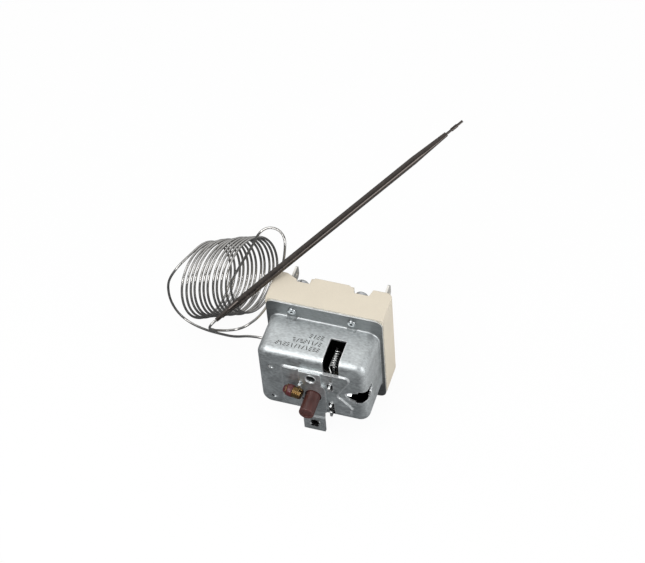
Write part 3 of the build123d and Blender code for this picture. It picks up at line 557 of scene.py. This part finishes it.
def make_finishes():
    """All finishes by the record's material slot."""
    c = bpy.context.scene.cutout_colours
    even = (1.0, 1.0, 1.0)
    return {
        # Zinc steel: painted shade inside the can, in the fixing holes' bores and on the flange's front.
        "zinc_steel": finish("Zinc steel", c.zinc, 0.50, 1.0, (1500.0, (0.5, 1.0, 1.0), 0.8), 0.32, 1.0,
                             0.00012, painted_shade_mask=painted_shade_inside),
        "lever_steel": finish("Lever steel", (0.75, 0.75, 0.74), 0.30, 1.0, (1500.0, even, 0.25), 0.12, 0.4),
        "moulding": finish("Cream moulding", c.moulding, 0.55, 0.0, (2600.0, even, 0.35), 0.05, 0.10, 0.0003),
        # The board's near-black colour is painted shade for the can's inside seen through its window.
        "plate_board": finish("Board", (0.010, 0.009, 0.008), 0.7, 0.0, (2400.0, even, 0.3)),
        "rivet_steel": finish("Rivet steel", (0.50, 0.52, 0.53), 0.24, 1.0, (1500.0, even, 0.2), 0.1, 0.4),
        "brass": finish("Brass", c.brass, 0.27, 1.0, (1900.0, even, 0.3), 0.30, 0.5),
        "lacquer": finish("Lacquer", c.lacquer, 0.33, 0.0, (700.0, even, 0.5), 0.35, 0.0, 0.0003, coat=0.1),
        "pin_plastic": finish("Pin plastic", c.pin, 0.42, 0.0, (1200.0, (1.0, 0.12, 1.0), 0.5), 0.35, 0.35,
                              0.0004, coat=0.12),
        "spring_steel": finish("Spring steel", (0.62, 0.62, 0.61), 0.24, 1.0, (1800.0, even, 0.15), 0.1, 0.4),
        # Snap spring wire: painted shade on the far halves of its turns.
        "snap_wire": finish("Snap spring wire", (0.85, 0.85, 0.83), 0.26, 1.0, (1800.0, even, 0.15), 0.1,
                            painted_shade_mask=painted_shade_coils),
        "carrier_plastic": finish("Black moulding", (0.012, 0.012, 0.013), 0.5, 0.0, (1500.0, even, 0.3)),
        "tinned_brass": finish("Tinned brass", (0.90, 0.87, 0.80), 0.34, 1.0, (1600.0, even, 0.25), 0.1, 0.3),
        "screw_steel": finish("Screw steel", (0.48, 0.49, 0.50), 0.15, 1.0, (1700.0, even, 0.2), 0.1, 0.5),
        "stainless": finish("Stainless", (0.50, 0.50, 0.50), 0.30, 1.0, (1500.0, even, 0.2), 0.1, 0.2),
        "capillary_steel": finish("Capillary steel", c.wire, 0.16, 1.0, (1200.0, even, 0.05), 0.25),
        "bulb_steel": finish("Bulb steel", c.bulb, 0.16, 1.0, (900.0, even, 0.06), 0.3, coat=0.4),
    }


def slot_finish(slot):
    """Finish made for a material slot, from the materials already in the file."""
    return bpy.data.materials[slot.replace("_", " ").capitalize()]


def new_object(name, data):
    """New object at the origin, in the scene."""
    made = bpy.data.objects.new(name, data)
    bpy.context.scene.collection.objects.link(made)
    return made


def new_mesh(name, mesh):
    """Mesh data made from a bmesh, which is freed."""
    data = bpy.data.meshes.new(name)
    mesh.to_mesh(data)
    mesh.free()
    return data


def add_object(name, data, body, slot):
    """Finished piece that rides on a body, if one is given, and takes a slot's finish; ink has no slot."""
    piece = new_object(name, data)
    if not data.materials:
        data.materials.append(slot_finish(slot))
    if body:
        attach(piece, body)
    return piece


def baked(piece):
    """Plain mesh of an object with its modifiers."""
    graph = bpy.context.evaluated_depsgraph_get()
    return bpy.data.meshes.new_from_object(piece.evaluated_get(graph))


def tube(name, points, thickness, steps):
    """Round tube along control points, with its ends closed."""
    data = bpy.data.curves.new(name, "CURVE")
    data.dimensions = "3D"
    data.bevel_depth = thickness / 2
    data.bevel_resolution = 3
    data.resolution_u = steps
    data.use_fill_caps = True
    spline = data.splines.new("NURBS")
    spline.points.add(len(points) - 1)
    for knot, point in zip(spline.points, points):
        knot.co = (*point, 1.0)
    spline.order_u = 3
    spline.use_endpoint_u = True
    return data


def skin(mesh, rings):
    """Smooth faces from ring to ring and a flat face on both ends, all pointing out."""
    around = len(rings[0])
    for lower, upper in zip(rings[:-1], rings[1:]):
        for i in range(around):
            j = (i + 1) % around
            mesh.faces.new((lower[i], lower[j], upper[j], upper[i])).smooth = True
    mesh.faces.new(list(reversed(rings[0])))
    mesh.faces.new(rings[-1])
    bmesh.ops.recalc_face_normals(mesh, faces=mesh.faces)


def cut_box(low, high):
    """Box-shaped cutter between two corners given in millimetres."""
    size = [b - a for a, b in zip(low, high)]
    middle = [(a + b) / 2 for a, b in zip(low, high)]
    mesh = bmesh.new()
    place = Matrix.Translation(Vector(middle) * MM) @ Matrix.Diagonal((*(Vector(size) * MM), 1.0))
    bmesh.ops.create_cube(mesh, size=1.0, matrix=place)
    return new_object("cutter", new_mesh("cutter", mesh))


def cut_away(body, boxes):
    """Plain mesh of an object without the boxes between each pair of corners; the object goes."""
    cutters = [cut_box(*corners) for corners in boxes]
    for cutter in cutters:
        cut = body.modifiers.new("Cut", "BOOLEAN")
        cut.operation = "DIFFERENCE"
        cut.object = cutter
    final = baked(body)
    for spent in [body] + cutters:
        bpy.data.objects.remove(spent)
    final.materials.clear()
    return final


def coil_points():
    """Control points of the coil, from the top of its first turn to the front of its last."""
    s = bpy.context.scene.cutout_cord
    first = Vector(COIL_CENTRE) - Vector(COIL_LEAN) / 2
    front = Vector(COIL_FRONT)
    up = Vector(COIL_UP)
    steps = s.points_per_turn
    start = steps // 4 + 1
    stop = steps * s.turns - 1
    points = []
    for i in range(start, stop + 1):
        t = (i - start) / (stop - start)
        turn = i / steps
        angle = 2 * math.pi * turn
        drift = Vector([noise.noise(Vector((turn * COIL_WANDER, s.seed, axis))) for axis in COIL_AXES])
        drift *= s.looseness
        unlike = noise.noise(Vector((math.floor(turn) * COIL_SPREAD, s.seed, 5.0)))
        radius = s.coil_radius + unlike * s.looseness
        centre = first + Vector(COIL_LEAN) * t + drift
        points.append(centre + (front * math.cos(angle) + up * math.sin(angle)) * radius)
    return points


def make_cord():
    """Capillary from the can's left wall through its coil to the bulb."""
    s = bpy.context.scene.cutout_cord
    near = Vector(BULB_NEAR)
    way = (Vector(BULB_FAR) - near).normalized()
    points = [Vector(p) for p in LEAD_POINTS] + coil_points()
    points += [Vector(p) for p in TAIL_POINTS] + [near - way * BULB_LEAD_IN, near]
    data = tube("capillary", points, s.diameter, 8)
    piece = add_object("capillary", data, "housing", "capillary_steel")
    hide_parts("capillary_lead", "capillary_coil", "capillary_tail")
    return piece


def make_snap_spring():
    """Tension spring in the window, with its hook over the lip and its eye in the lever."""
    s = bpy.context.scene.cutout_spring
    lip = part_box("tension_spring")[0][1] + s.wire / 2
    points = [Vector([v * MM for v in SPRING_TIP])]
    points += [Vector((x * MM, lip + y * MM, z * MM)) for x, y, z in SPRING_HOOK]
    steps = 14
    count = int(s.turns * steps)
    for i in range(count + 1):
        t = i / count
        angle = 2 * math.pi * s.turns * t + math.pi
        x = SPRING_X + s.radius * math.cos(angle)
        z = SPRING_Z - s.radius * math.sin(angle)
        points.append(Vector((x, SPRING_FRONT + (SPRING_BACK - SPRING_FRONT) * t, z)))
    points += [Vector([v * MM for v in point]) for point in SPRING_EYE]
    blank = new_object("spring_blank", tube("snap_spring", points, s.wire, 5))
    mesh = baked(blank)
    bpy.data.objects.remove(blank)
    mesh.materials.clear()
    mesh.materials.append(bpy.data.materials["Snap spring wire"])
    piece = add_object("snap_spring", mesh, None, "spring_steel")
    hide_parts("tension_spring")
    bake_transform(piece)
    return piece


def merged_copy(node):
    """Copy of a CAD node's mesh with its doubled corners merged."""
    data = frame["nodes"][node].data.copy()
    mesh = bmesh.new()
    mesh.from_mesh(data)
    bmesh.ops.remove_doubles(mesh, verts=mesh.verts, dist=0.000001)
    mesh.to_mesh(data)
    mesh.free()
    data.materials.clear()
    return data


def make_return_spring():
    """Return spring between the base and the contact carrier, copied from the CAD node."""
    piece = add_object("carrier_spring", merged_copy("return_spring"), None, "spring_steel")
    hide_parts("return_spring")
    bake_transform(piece)
    return piece


def axis_matrix(start, end):
    """Matrix whose Z runs from start to end, with its origin at start."""
    way = (Vector(end) - Vector(start)).normalized()
    turn = way.to_track_quat("Z", "Y").to_matrix().to_4x4()
    return Matrix.Translation(Vector(start)) @ turn


def make_calibration_screw():
    """Brass grub screw with a real helical thread and a driver slot."""
    s = bpy.context.scene.cutout_thread
    length = (Vector(SCREW_LEFT) - Vector(SCREW_RIGHT)).length - SCREW_SHORT
    around = 48
    per_turn = 12
    rows = int(length / s.pitch * per_turn)
    mesh = bmesh.new()
    rings = []
    for row in range(rows + 1):
        z = length * row / rows
        taper = TAPER_DEPTH * (1.0 - min(1.0, z / TAPER_LENGTH))
        ring = []
        for i in range(around):
            angle = 2 * math.pi * i / around
            phase = (z / s.pitch - i / around) % 1.0
            root = max(0.0, min(1.0, THREAD_SLOPE * abs(2.0 * phase - 1.0) - THREAD_FLAT))
            radius = s.outer_radius - s.depth * root - taper
            ring.append(mesh.verts.new((radius * math.cos(angle), radius * math.sin(angle), z)))
        rings.append(ring)
    skin(mesh, rings)
    body = new_object("thread_blank", new_mesh("calibration_thread", mesh))
    final = cut_away(body, [SLOT_CUT])
    final.transform(axis_matrix(SCREW_RIGHT, SCREW_LEFT))
    piece = add_object("calibration_thread", final, "housing", "brass")
    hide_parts("calibration_screw")
    return piece


def make_lacquer():
    """Uneven dome of locking lacquer that runs from the screw's left end over its thread."""
    around = 64
    rings = []
    mesh = bmesh.new()
    for depth, radius in LACQUER_PROFILE:
        ring = []
        for i in range(around):
            angle = 2 * math.pi * i / around
            way = Vector((math.cos(angle), math.sin(angle), 0.0))
            uneven = LACQUER_UNEVEN * noise.noise(way * 1.6 + Vector((0.0, 0.0, depth * 1.1)))
            run = LACQUER_RUN * noise.noise(way * 2.3 + Vector((4.0, 2.0, 1.0)))
            ragged = run * max(0.0, depth - LACQUER_RUN_FROM) / LACQUER_RUN_FROM
            size = radius * (1.0 + uneven)
            ring.append(mesh.verts.new(Vector((way.x * size, way.y * size, -(depth + ragged))) * MM))
        rings.append(ring)
    skin(mesh, rings)
    data = new_mesh("lacquer_blob", mesh)
    turn = axis_matrix(SCREW_RIGHT, SCREW_LEFT)
    turn.translation = Vector(SCREW_LEFT)
    data.transform(turn)
    piece = add_object("lacquer_blob", data, "housing", "lacquer")
    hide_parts("lacquer_seal")
    return piece


def make_stop_lug():
    """Bent lug that shows at the tip of the can's corner slot."""
    rows = [(x, y, z) for x in STOP_SIDES for y, z in STOP_PROFILE]
    mesh = bmesh.new()
    corners = [mesh.verts.new(Vector(row) * MM) for row in rows]
    count = len(STOP_PROFILE)
    mesh.faces.new(corners[:count])
    mesh.faces.new(corners[count:])
    for i in range(count):
        j = (i + 1) % count
        mesh.faces.new((corners[i], corners[j], corners[count + j], corners[count + i]))
    bmesh.ops.recalc_face_normals(mesh, faces=mesh.faces)
    return add_object("stop_lug", new_mesh("stop_lug", mesh), "housing", "rivet_steel")


def make_bracket():
    """Front bracket whose fork stays behind the calibration screw, with a nick above and below it."""
    body = new_object("bracket_blank", merged_copy("mounting_bracket"))
    piece = add_object("front_bracket", cut_away(body, BRACKET_CUTS), "housing", "zinc_steel")
    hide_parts("mounting_bracket")
    return piece


def ring_nodes():
    """Geometry Nodes group: a stack of thread rings along Y."""
    name = "Thread rings"
    if name in bpy.data.node_groups:
        return bpy.data.node_groups[name]
    tree = bpy.data.node_groups.new(name, "GeometryNodeTree")
    socket(tree, "Count", "INPUT", "NodeSocketInt", 2)
    socket(tree, "Pitch", "INPUT", "NodeSocketFloat", 0.0007)
    socket(tree, "Radius", "INPUT", "NodeSocketFloat", 0.00165)
    socket(tree, "Depth", "INPUT", "NodeSocketFloat", 0.0002)
    socket(tree, "Start", "INPUT", "NodeSocketVector", (0.0, 0.0, 0.0))
    socket(tree, "Material", "INPUT", "NodeSocketMaterial")
    socket(tree, "Geometry", "OUTPUT", "NodeSocketGeometry")
    w = Wiring(tree)
    given = w.add("NodeGroupInput")
    step = w.add("ShaderNodeCombineXYZ", Y=given.outputs["Pitch"])
    line = w.add("GeometryNodeMeshLine", Count=given.outputs["Count"], Start_Location=given.outputs["Start"],
                 Offset=step.outputs[0])
    ring = w.add("GeometryNodeCurvePrimitiveCircle", Resolution=64, Radius=given.outputs["Radius"])
    ridge = w.add("GeometryNodeCurvePrimitiveCircle", Resolution=6, Radius=given.outputs["Depth"])
    solid = w.add("GeometryNodeCurveToMesh", Curve=ring.outputs[0], Profile_Curve=ridge.outputs[0])
    placed = w.add("GeometryNodeInstanceOnPoints", Points=line.outputs[0], Instance=solid.outputs[0],
                   Rotation=(math.pi / 2, 0.0, 0.0))
    real = w.add("GeometryNodeRealizeInstances", Geometry=placed.outputs[0])
    painted = w.add("GeometryNodeSetMaterial", Geometry=real.outputs[0], Material=given.outputs["Material"])
    result = w.add("NodeGroupOutput")
    tree.links.new(painted.outputs[0], result.inputs["Geometry"])
    return tree


def from_nodes(name, tree, slot, **inputs):
    """Piece made by a Geometry Nodes group and turned into a plain mesh."""
    holder = new_object(name + "_holder", bpy.data.meshes.new(name + "_holder"))
    modifier = holder.modifiers.new("Nodes", "NODES")
    modifier.node_group = tree
    keys = {item.name: item.identifier for item in tree.interface.items_tree if item.in_out == "INPUT"}
    for key, value in inputs.items():
        modifier[keys[key]] = value
    modifier[keys["Material"]] = slot_finish(slot)
    mesh = baked(holder)
    bpy.data.objects.remove(holder)
    return add_object(name, mesh, "housing", slot)


def make_hole_threads():
    """Thread crests in the two fixing holes."""
    s = bpy.context.scene.cutout_thread
    made = []
    for name, z in (("upper", HOLE_HEIGHT), ("lower", -HOLE_HEIGHT)):
        made.append(from_nodes(
            "thread_rings_" + name, ring_nodes(), "zinc_steel", Count=s.rings, Pitch=CREST_PITCH,
            Radius=s.hole_radius, Depth=CREST_RIDGE, Start=(0.0, CREST_START, z)))
        made.append(from_nodes(
            "hole_rim_" + name, ring_nodes(), "zinc_steel", Count=1, Pitch=CREST_PITCH,
            Radius=RIM_RADIUS, Depth=RIM_RIDGE, Start=(0.0, RIM_START, z)))
    return made


def mark_nodes():
    """Geometry Nodes group: a row of strokes and stacks of short dashes, picked and turned at random."""
    name = "Ink row"
    if name in bpy.data.node_groups:
        return bpy.data.node_groups[name]
    tree = bpy.data.node_groups.new(name, "GeometryNodeTree")
    socket(tree, "Count", "INPUT", "NodeSocketInt", 8)
    socket(tree, "Pitch", "INPUT", "NodeSocketFloat", 0.00148)
    socket(tree, "Stroke", "INPUT", "NodeSocketFloat", 0.00026)
    socket(tree, "Height", "INPUT", "NodeSocketFloat", 0.0017)
    socket(tree, "Start", "INPUT", "NodeSocketVector", (0.0, 0.0, 0.0))
    socket(tree, "Seed", "INPUT", "NodeSocketInt", 11)
    socket(tree, "Material", "INPUT", "NodeSocketMaterial")
    socket(tree, "Geometry", "OUTPUT", "NodeSocketGeometry")
    w = Wiring(tree)
    given = w.add("NodeGroupInput")
    step = w.add("ShaderNodeCombineXYZ", X=given.outputs["Pitch"])
    line = w.add("GeometryNodeMeshLine", Count=given.outputs["Count"], Start_Location=given.outputs["Start"],
                 Offset=step.outputs[0])
    cell = w.add("ShaderNodeCombineXYZ", X=given.outputs["Stroke"], Y=given.outputs["Height"],
                 Z=INK_THICKNESS)
    bar = w.add("GeometryNodeMeshCube", Size=cell.outputs[0])
    dash_size = w.add("ShaderNodeCombineXYZ", X=w.math("MULTIPLY", given.outputs["Height"], DASH_WIDTH),
                      Y=given.outputs["Stroke"], Z=INK_THICKNESS)
    dash = w.add("GeometryNodeMeshCube", Size=dash_size.outputs[0])
    low_dash = w.add("ShaderNodeCombineXYZ", Y=w.math("MULTIPLY", given.outputs["Height"], -DASH_STEP))
    next_dash = w.add("ShaderNodeCombineXYZ", Y=w.math("MULTIPLY", given.outputs["Height"], DASH_STEP))
    rows = w.add("GeometryNodeMeshLine", Count=3, Start_Location=low_dash.outputs[0],
                 Offset=next_dash.outputs[0])
    stack = w.add("GeometryNodeInstanceOnPoints", Points=rows.outputs[0], Instance=dash.outputs[0])
    pick = w.add("FunctionNodeRandomValue", {"data_type": "FLOAT"}, Seed=given.outputs["Seed"])
    turn = w.add("FunctionNodeRandomValue", {"data_type": "FLOAT_VECTOR"}, Seed=given.outputs["Seed"])
    for side, angle in zip(turn.inputs, MARK_TURN):
        side.default_value = (0.0, 0.0, angle)
    stacked = w.math("GREATER_THAN", pick.outputs[1], STROKE_SHARE)
    plain_bar = w.math("LESS_THAN", pick.outputs[1], STROKE_SHARE)
    bars = w.add("GeometryNodeInstanceOnPoints", Points=line.outputs[0], Instance=bar.outputs[0],
                 Selection=plain_bar, Rotation=turn.outputs[0])
    frames = w.add("GeometryNodeInstanceOnPoints", Points=line.outputs[0], Instance=stack.outputs[0],
                   Selection=stacked, Rotation=turn.outputs[0])
    both = w.add("GeometryNodeJoinGeometry")
    tree.links.new(bars.outputs[0], both.inputs[0])
    tree.links.new(frames.outputs[0], both.inputs[0])
    real = w.add("GeometryNodeRealizeInstances", Geometry=both.outputs[0])
    painted = w.add("GeometryNodeSetMaterial", Geometry=real.outputs[0], Material=given.outputs["Material"])
    result = w.add("NodeGroupOutput")
    tree.links.new(painted.outputs[0], result.inputs["Geometry"])
    return tree


def make_marks():
    """Rows of plain ink marks on the can's top."""
    s = bpy.context.scene.cutout_marks
    if "Ink" not in bpy.data.materials:
        finish("Ink", (0.022, 0.021, 0.018), 0.6, 0.0, (1800.0, (1.0, 1.0, 1.0), 0.1), 0.3)
    made = []
    for row, (count, y) in enumerate(MARK_ROWS):
        start = (MARK_RIGHT - (count - 1) * s.pitch, y * MM, CAN_TOP + INK_LIFT)
        made.append(from_nodes(
            "ink_row_" + str(row + 1), mark_nodes(), "ink", Count=count, Pitch=s.pitch, Stroke=s.stroke,
            Height=s.height, Start=start, Seed=s.seed + row))
    return made


def light(name, place, size, energy):
    """Rectangular softbox that faces the part."""
    data = bpy.data.lights.new(name, "AREA")
    data.shape = "RECTANGLE"
    data.size = size[0]
    data.size_y = size[1]
    data.energy = energy
    lamp = new_object(name, data)
    lamp.location = place
    lamp.rotation_euler = (Vector(LIGHT_TARGET) - Vector(place)).to_track_quat("-Z", "Y").to_euler()
    return lamp


def make_floor():
    """Floor that the camera sees as plain white."""
    s = bpy.context.scene.cutout_stage
    data = bpy.data.meshes.new("floor")
    half = s.floor_size / 2
    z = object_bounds()[0][2] - FLOOR_GAP
    corners = [(-half, -half, z), (half, -half, z), (half, half, z), (-half, half, z)]
    data.from_pydata(corners, [], [(0, 1, 2, 3)])
    floor = new_object("floor", data)
    material = bpy.data.materials.new("White paper")
    material.use_nodes = True
    material.node_tree.nodes.clear()
    w = Wiring(material.node_tree)
    path = w.add("ShaderNodeLightPath")
    clear = w.math("MAXIMUM", path.outputs["Is Glossy Ray"], path.outputs["Is Transmission Ray"])
    direct = w.math("MULTIPLY", path.outputs["Is Camera Ray"], s.floor_white)
    place = w.add("ShaderNodeTexCoord")
    parts = w.add("ShaderNodeSeparateXYZ", Vector=place.outputs["Object"])
    in_metal = w.span(parts.outputs[0], *METAL_SPAN, s.floor_in_metal, METAL_WHITE)
    seen = w.math("ADD", direct, w.math("MULTIPLY", clear, in_metal))
    white = w.add("ShaderNodeEmission", Color=WHITE, Strength=1.0)
    shade = w.mix(clear, PAPER, PAPER_IN_METAL)
    paper = w.add("ShaderNodeBsdfDiffuse", Color=shade)
    choice = w.add("ShaderNodeMixShader")
    w.feed(choice.inputs[0], seen)
    w.feed(choice.inputs[1], paper.outputs[0])
    w.feed(choice.inputs[2], white.outputs[0])
    output = w.add("ShaderNodeOutputMaterial")
    w.feed(output.inputs[0], choice.outputs[0])
    data.materials.append(material)
    floor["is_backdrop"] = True
    return floor


def make_world():
    """Soft sky, brightest above and behind the part."""
    s = bpy.context.scene.cutout_stage
    world = bpy.data.worlds.new("Sky")
    bpy.context.scene.world = world
    world.use_nodes = True
    world.node_tree.nodes.clear()
    w = Wiring(world.node_tree)
    place = w.add("ShaderNodeTexCoord")
    along = w.vector("DOT_PRODUCT", place.outputs["Generated"], SKY_TOWARDS)
    height = w.span(along.outputs["Value"], 0.0, SKY_FULL)
    path = w.add("ShaderNodeLightPath")
    sky = w.mix(height, SKY_DIM, WHITE)
    seen = w.mix(path.outputs["Is Camera Ray"], sky, WHITE)
    strength = w.span(path.outputs["Is Camera Ray"], 0.0, 1.0, s.world, 1.0)
    back = w.add("ShaderNodeBackground", Color=seen, Strength=strength)
    output = w.add("ShaderNodeOutputWorld")
    w.feed(output.inputs[0], back.outputs[0])


def make_camera():
    """Camera of the photograph."""
    data = bpy.data.cameras.new("camera")
    data.sensor_fit = "HORIZONTAL"
    data.sensor_width = CAMERA_SENSOR
    data.lens = CAMERA_LENS
    data.clip_start = 0.01
    camera = new_object("camera", data)
    turn = Matrix((CAMERA_RIGHT, CAMERA_UP, CAMERA_BACK)).transposed().to_4x4()
    camera.matrix_world = Matrix.Translation(CAMERA_PLACE) @ turn
    bpy.context.scene.camera = camera


class CUTOUT_OT_finishes(bpy.types.Operator):
    """Give every CAD node its procedural finish"""

    bl_idname = "cutout.finishes"
    bl_label = "Finishes"

    def execute(self, context):
        finishes = make_finishes()
        slots = {part["node"]: part["material_slot"] for part in frame["record"]["subparts"]}
        slots["trip_lever"] = "lever_steel"
        for name, node in frame["nodes"].items():
            for place in node.material_slots:
                place.material = finishes[slots[name]]
        return {"FINISHED"}


class CUTOUT_OT_cord(bpy.types.Operator):
    """Lay the capillary with its coil"""

    bl_idname = "cutout.cord"
    bl_label = "Capillary"

    def execute(self, context):
        make_cord()
        return {"FINISHED"}


class CUTOUT_OT_spring(bpy.types.Operator):
    """Hang the snap spring in the window and set the return spring"""

    bl_idname = "cutout.spring"
    bl_label = "Springs"

    def execute(self, context):
        make_snap_spring()
        make_return_spring()
        return {"FINISHED"}


class CUTOUT_OT_screw(bpy.types.Operator):
    """Cut the calibration screw's thread and seal it"""

    bl_idname = "cutout.screw"
    bl_label = "Calibration screw"

    def execute(self, context):
        make_calibration_screw()
        make_lacquer()
        return {"FINISHED"}


class CUTOUT_OT_bracket(bpy.types.Operator):
    """Open the bracket's fork in front of the calibration screw and set the lug behind the corner slot"""

    bl_idname = "cutout.bracket"
    bl_label = "Front bracket"

    def execute(self, context):
        make_bracket()
        make_stop_lug()
        return {"FINISHED"}


class CUTOUT_OT_threads(bpy.types.Operator):
    """Thread the two fixing holes"""

    bl_idname = "cutout.threads"
    bl_label = "Fixing threads"

    def execute(self, context):
        make_hole_threads()
        return {"FINISHED"}


class CUTOUT_OT_marks(bpy.types.Operator):
    """Print plain marks on the can"""

    bl_idname = "cutout.marks"
    bl_label = "Ink marks"

    def execute(self, context):
        make_marks()
        return {"FINISHED"}


class CUTOUT_OT_stage(bpy.types.Operator):
    """Set up the floor, sky, lights and camera"""

    bl_idname = "cutout.stage"
    bl_label = "Stage"

    def execute(self, context):
        make_floor()
        make_world()
        for box in LIGHTS:
            light(*box)
        make_camera()
        context.scene.view_settings.view_transform = "Standard"
        return {"FINISHED"}


class CUTOUT_PT_panel(bpy.types.Panel):
    """Sidebar panel with every step in order"""

    bl_idname = "CUTOUT_PT_panel"
    bl_label = "Cut-out"
    bl_space_type = "VIEW_3D"
    bl_region_type = "UI"
    bl_category = "Cut-out"

    def draw(self, context):
        for step in STEPS:
            self.layout.operator(step.bl_idname)


SETTINGS = {
    "cutout_cord": CordSettings,
    "cutout_spring": SpringSettings,
    "cutout_thread": ThreadSettings,
    "cutout_marks": MarkSettings,
    "cutout_colours": ColourSettings,
    "cutout_stage": StageSettings,
}
STEPS = (
    CUTOUT_OT_finishes, CUTOUT_OT_cord, CUTOUT_OT_spring, CUTOUT_OT_screw, CUTOUT_OT_bracket,
    CUTOUT_OT_threads, CUTOUT_OT_marks, CUTOUT_OT_stage,
)


def register():
    """Register the settings, the steps and the panel."""
    for name, group in SETTINGS.items():
        bpy.utils.register_class(group)
        setattr(bpy.types.Scene, name, bpy.props.PointerProperty(type=group))
    for step in STEPS + (CUTOUT_PT_panel,):
        bpy.utils.register_class(step)


def unregister():
    """Undo register in the opposite order."""
    for step in reversed(STEPS + (CUTOUT_PT_panel,)):
        bpy.utils.unregister_class(step)
    for name, group in reversed(SETTINGS.items()):
        delattr(bpy.types.Scene, name)
        bpy.utils.unregister_class(group)


def main():
    """Build everything."""
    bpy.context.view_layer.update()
    register()
    bpy.ops.cutout.finishes()
    bpy.ops.cutout.cord()
    bpy.ops.cutout.spring()
    bpy.ops.cutout.screw()
    bpy.ops.cutout.bracket()
    bpy.ops.cutout.threads()
    bpy.ops.cutout.marks()
    bpy.ops.cutout.stage()


if __name__ == "__main__":
    main()
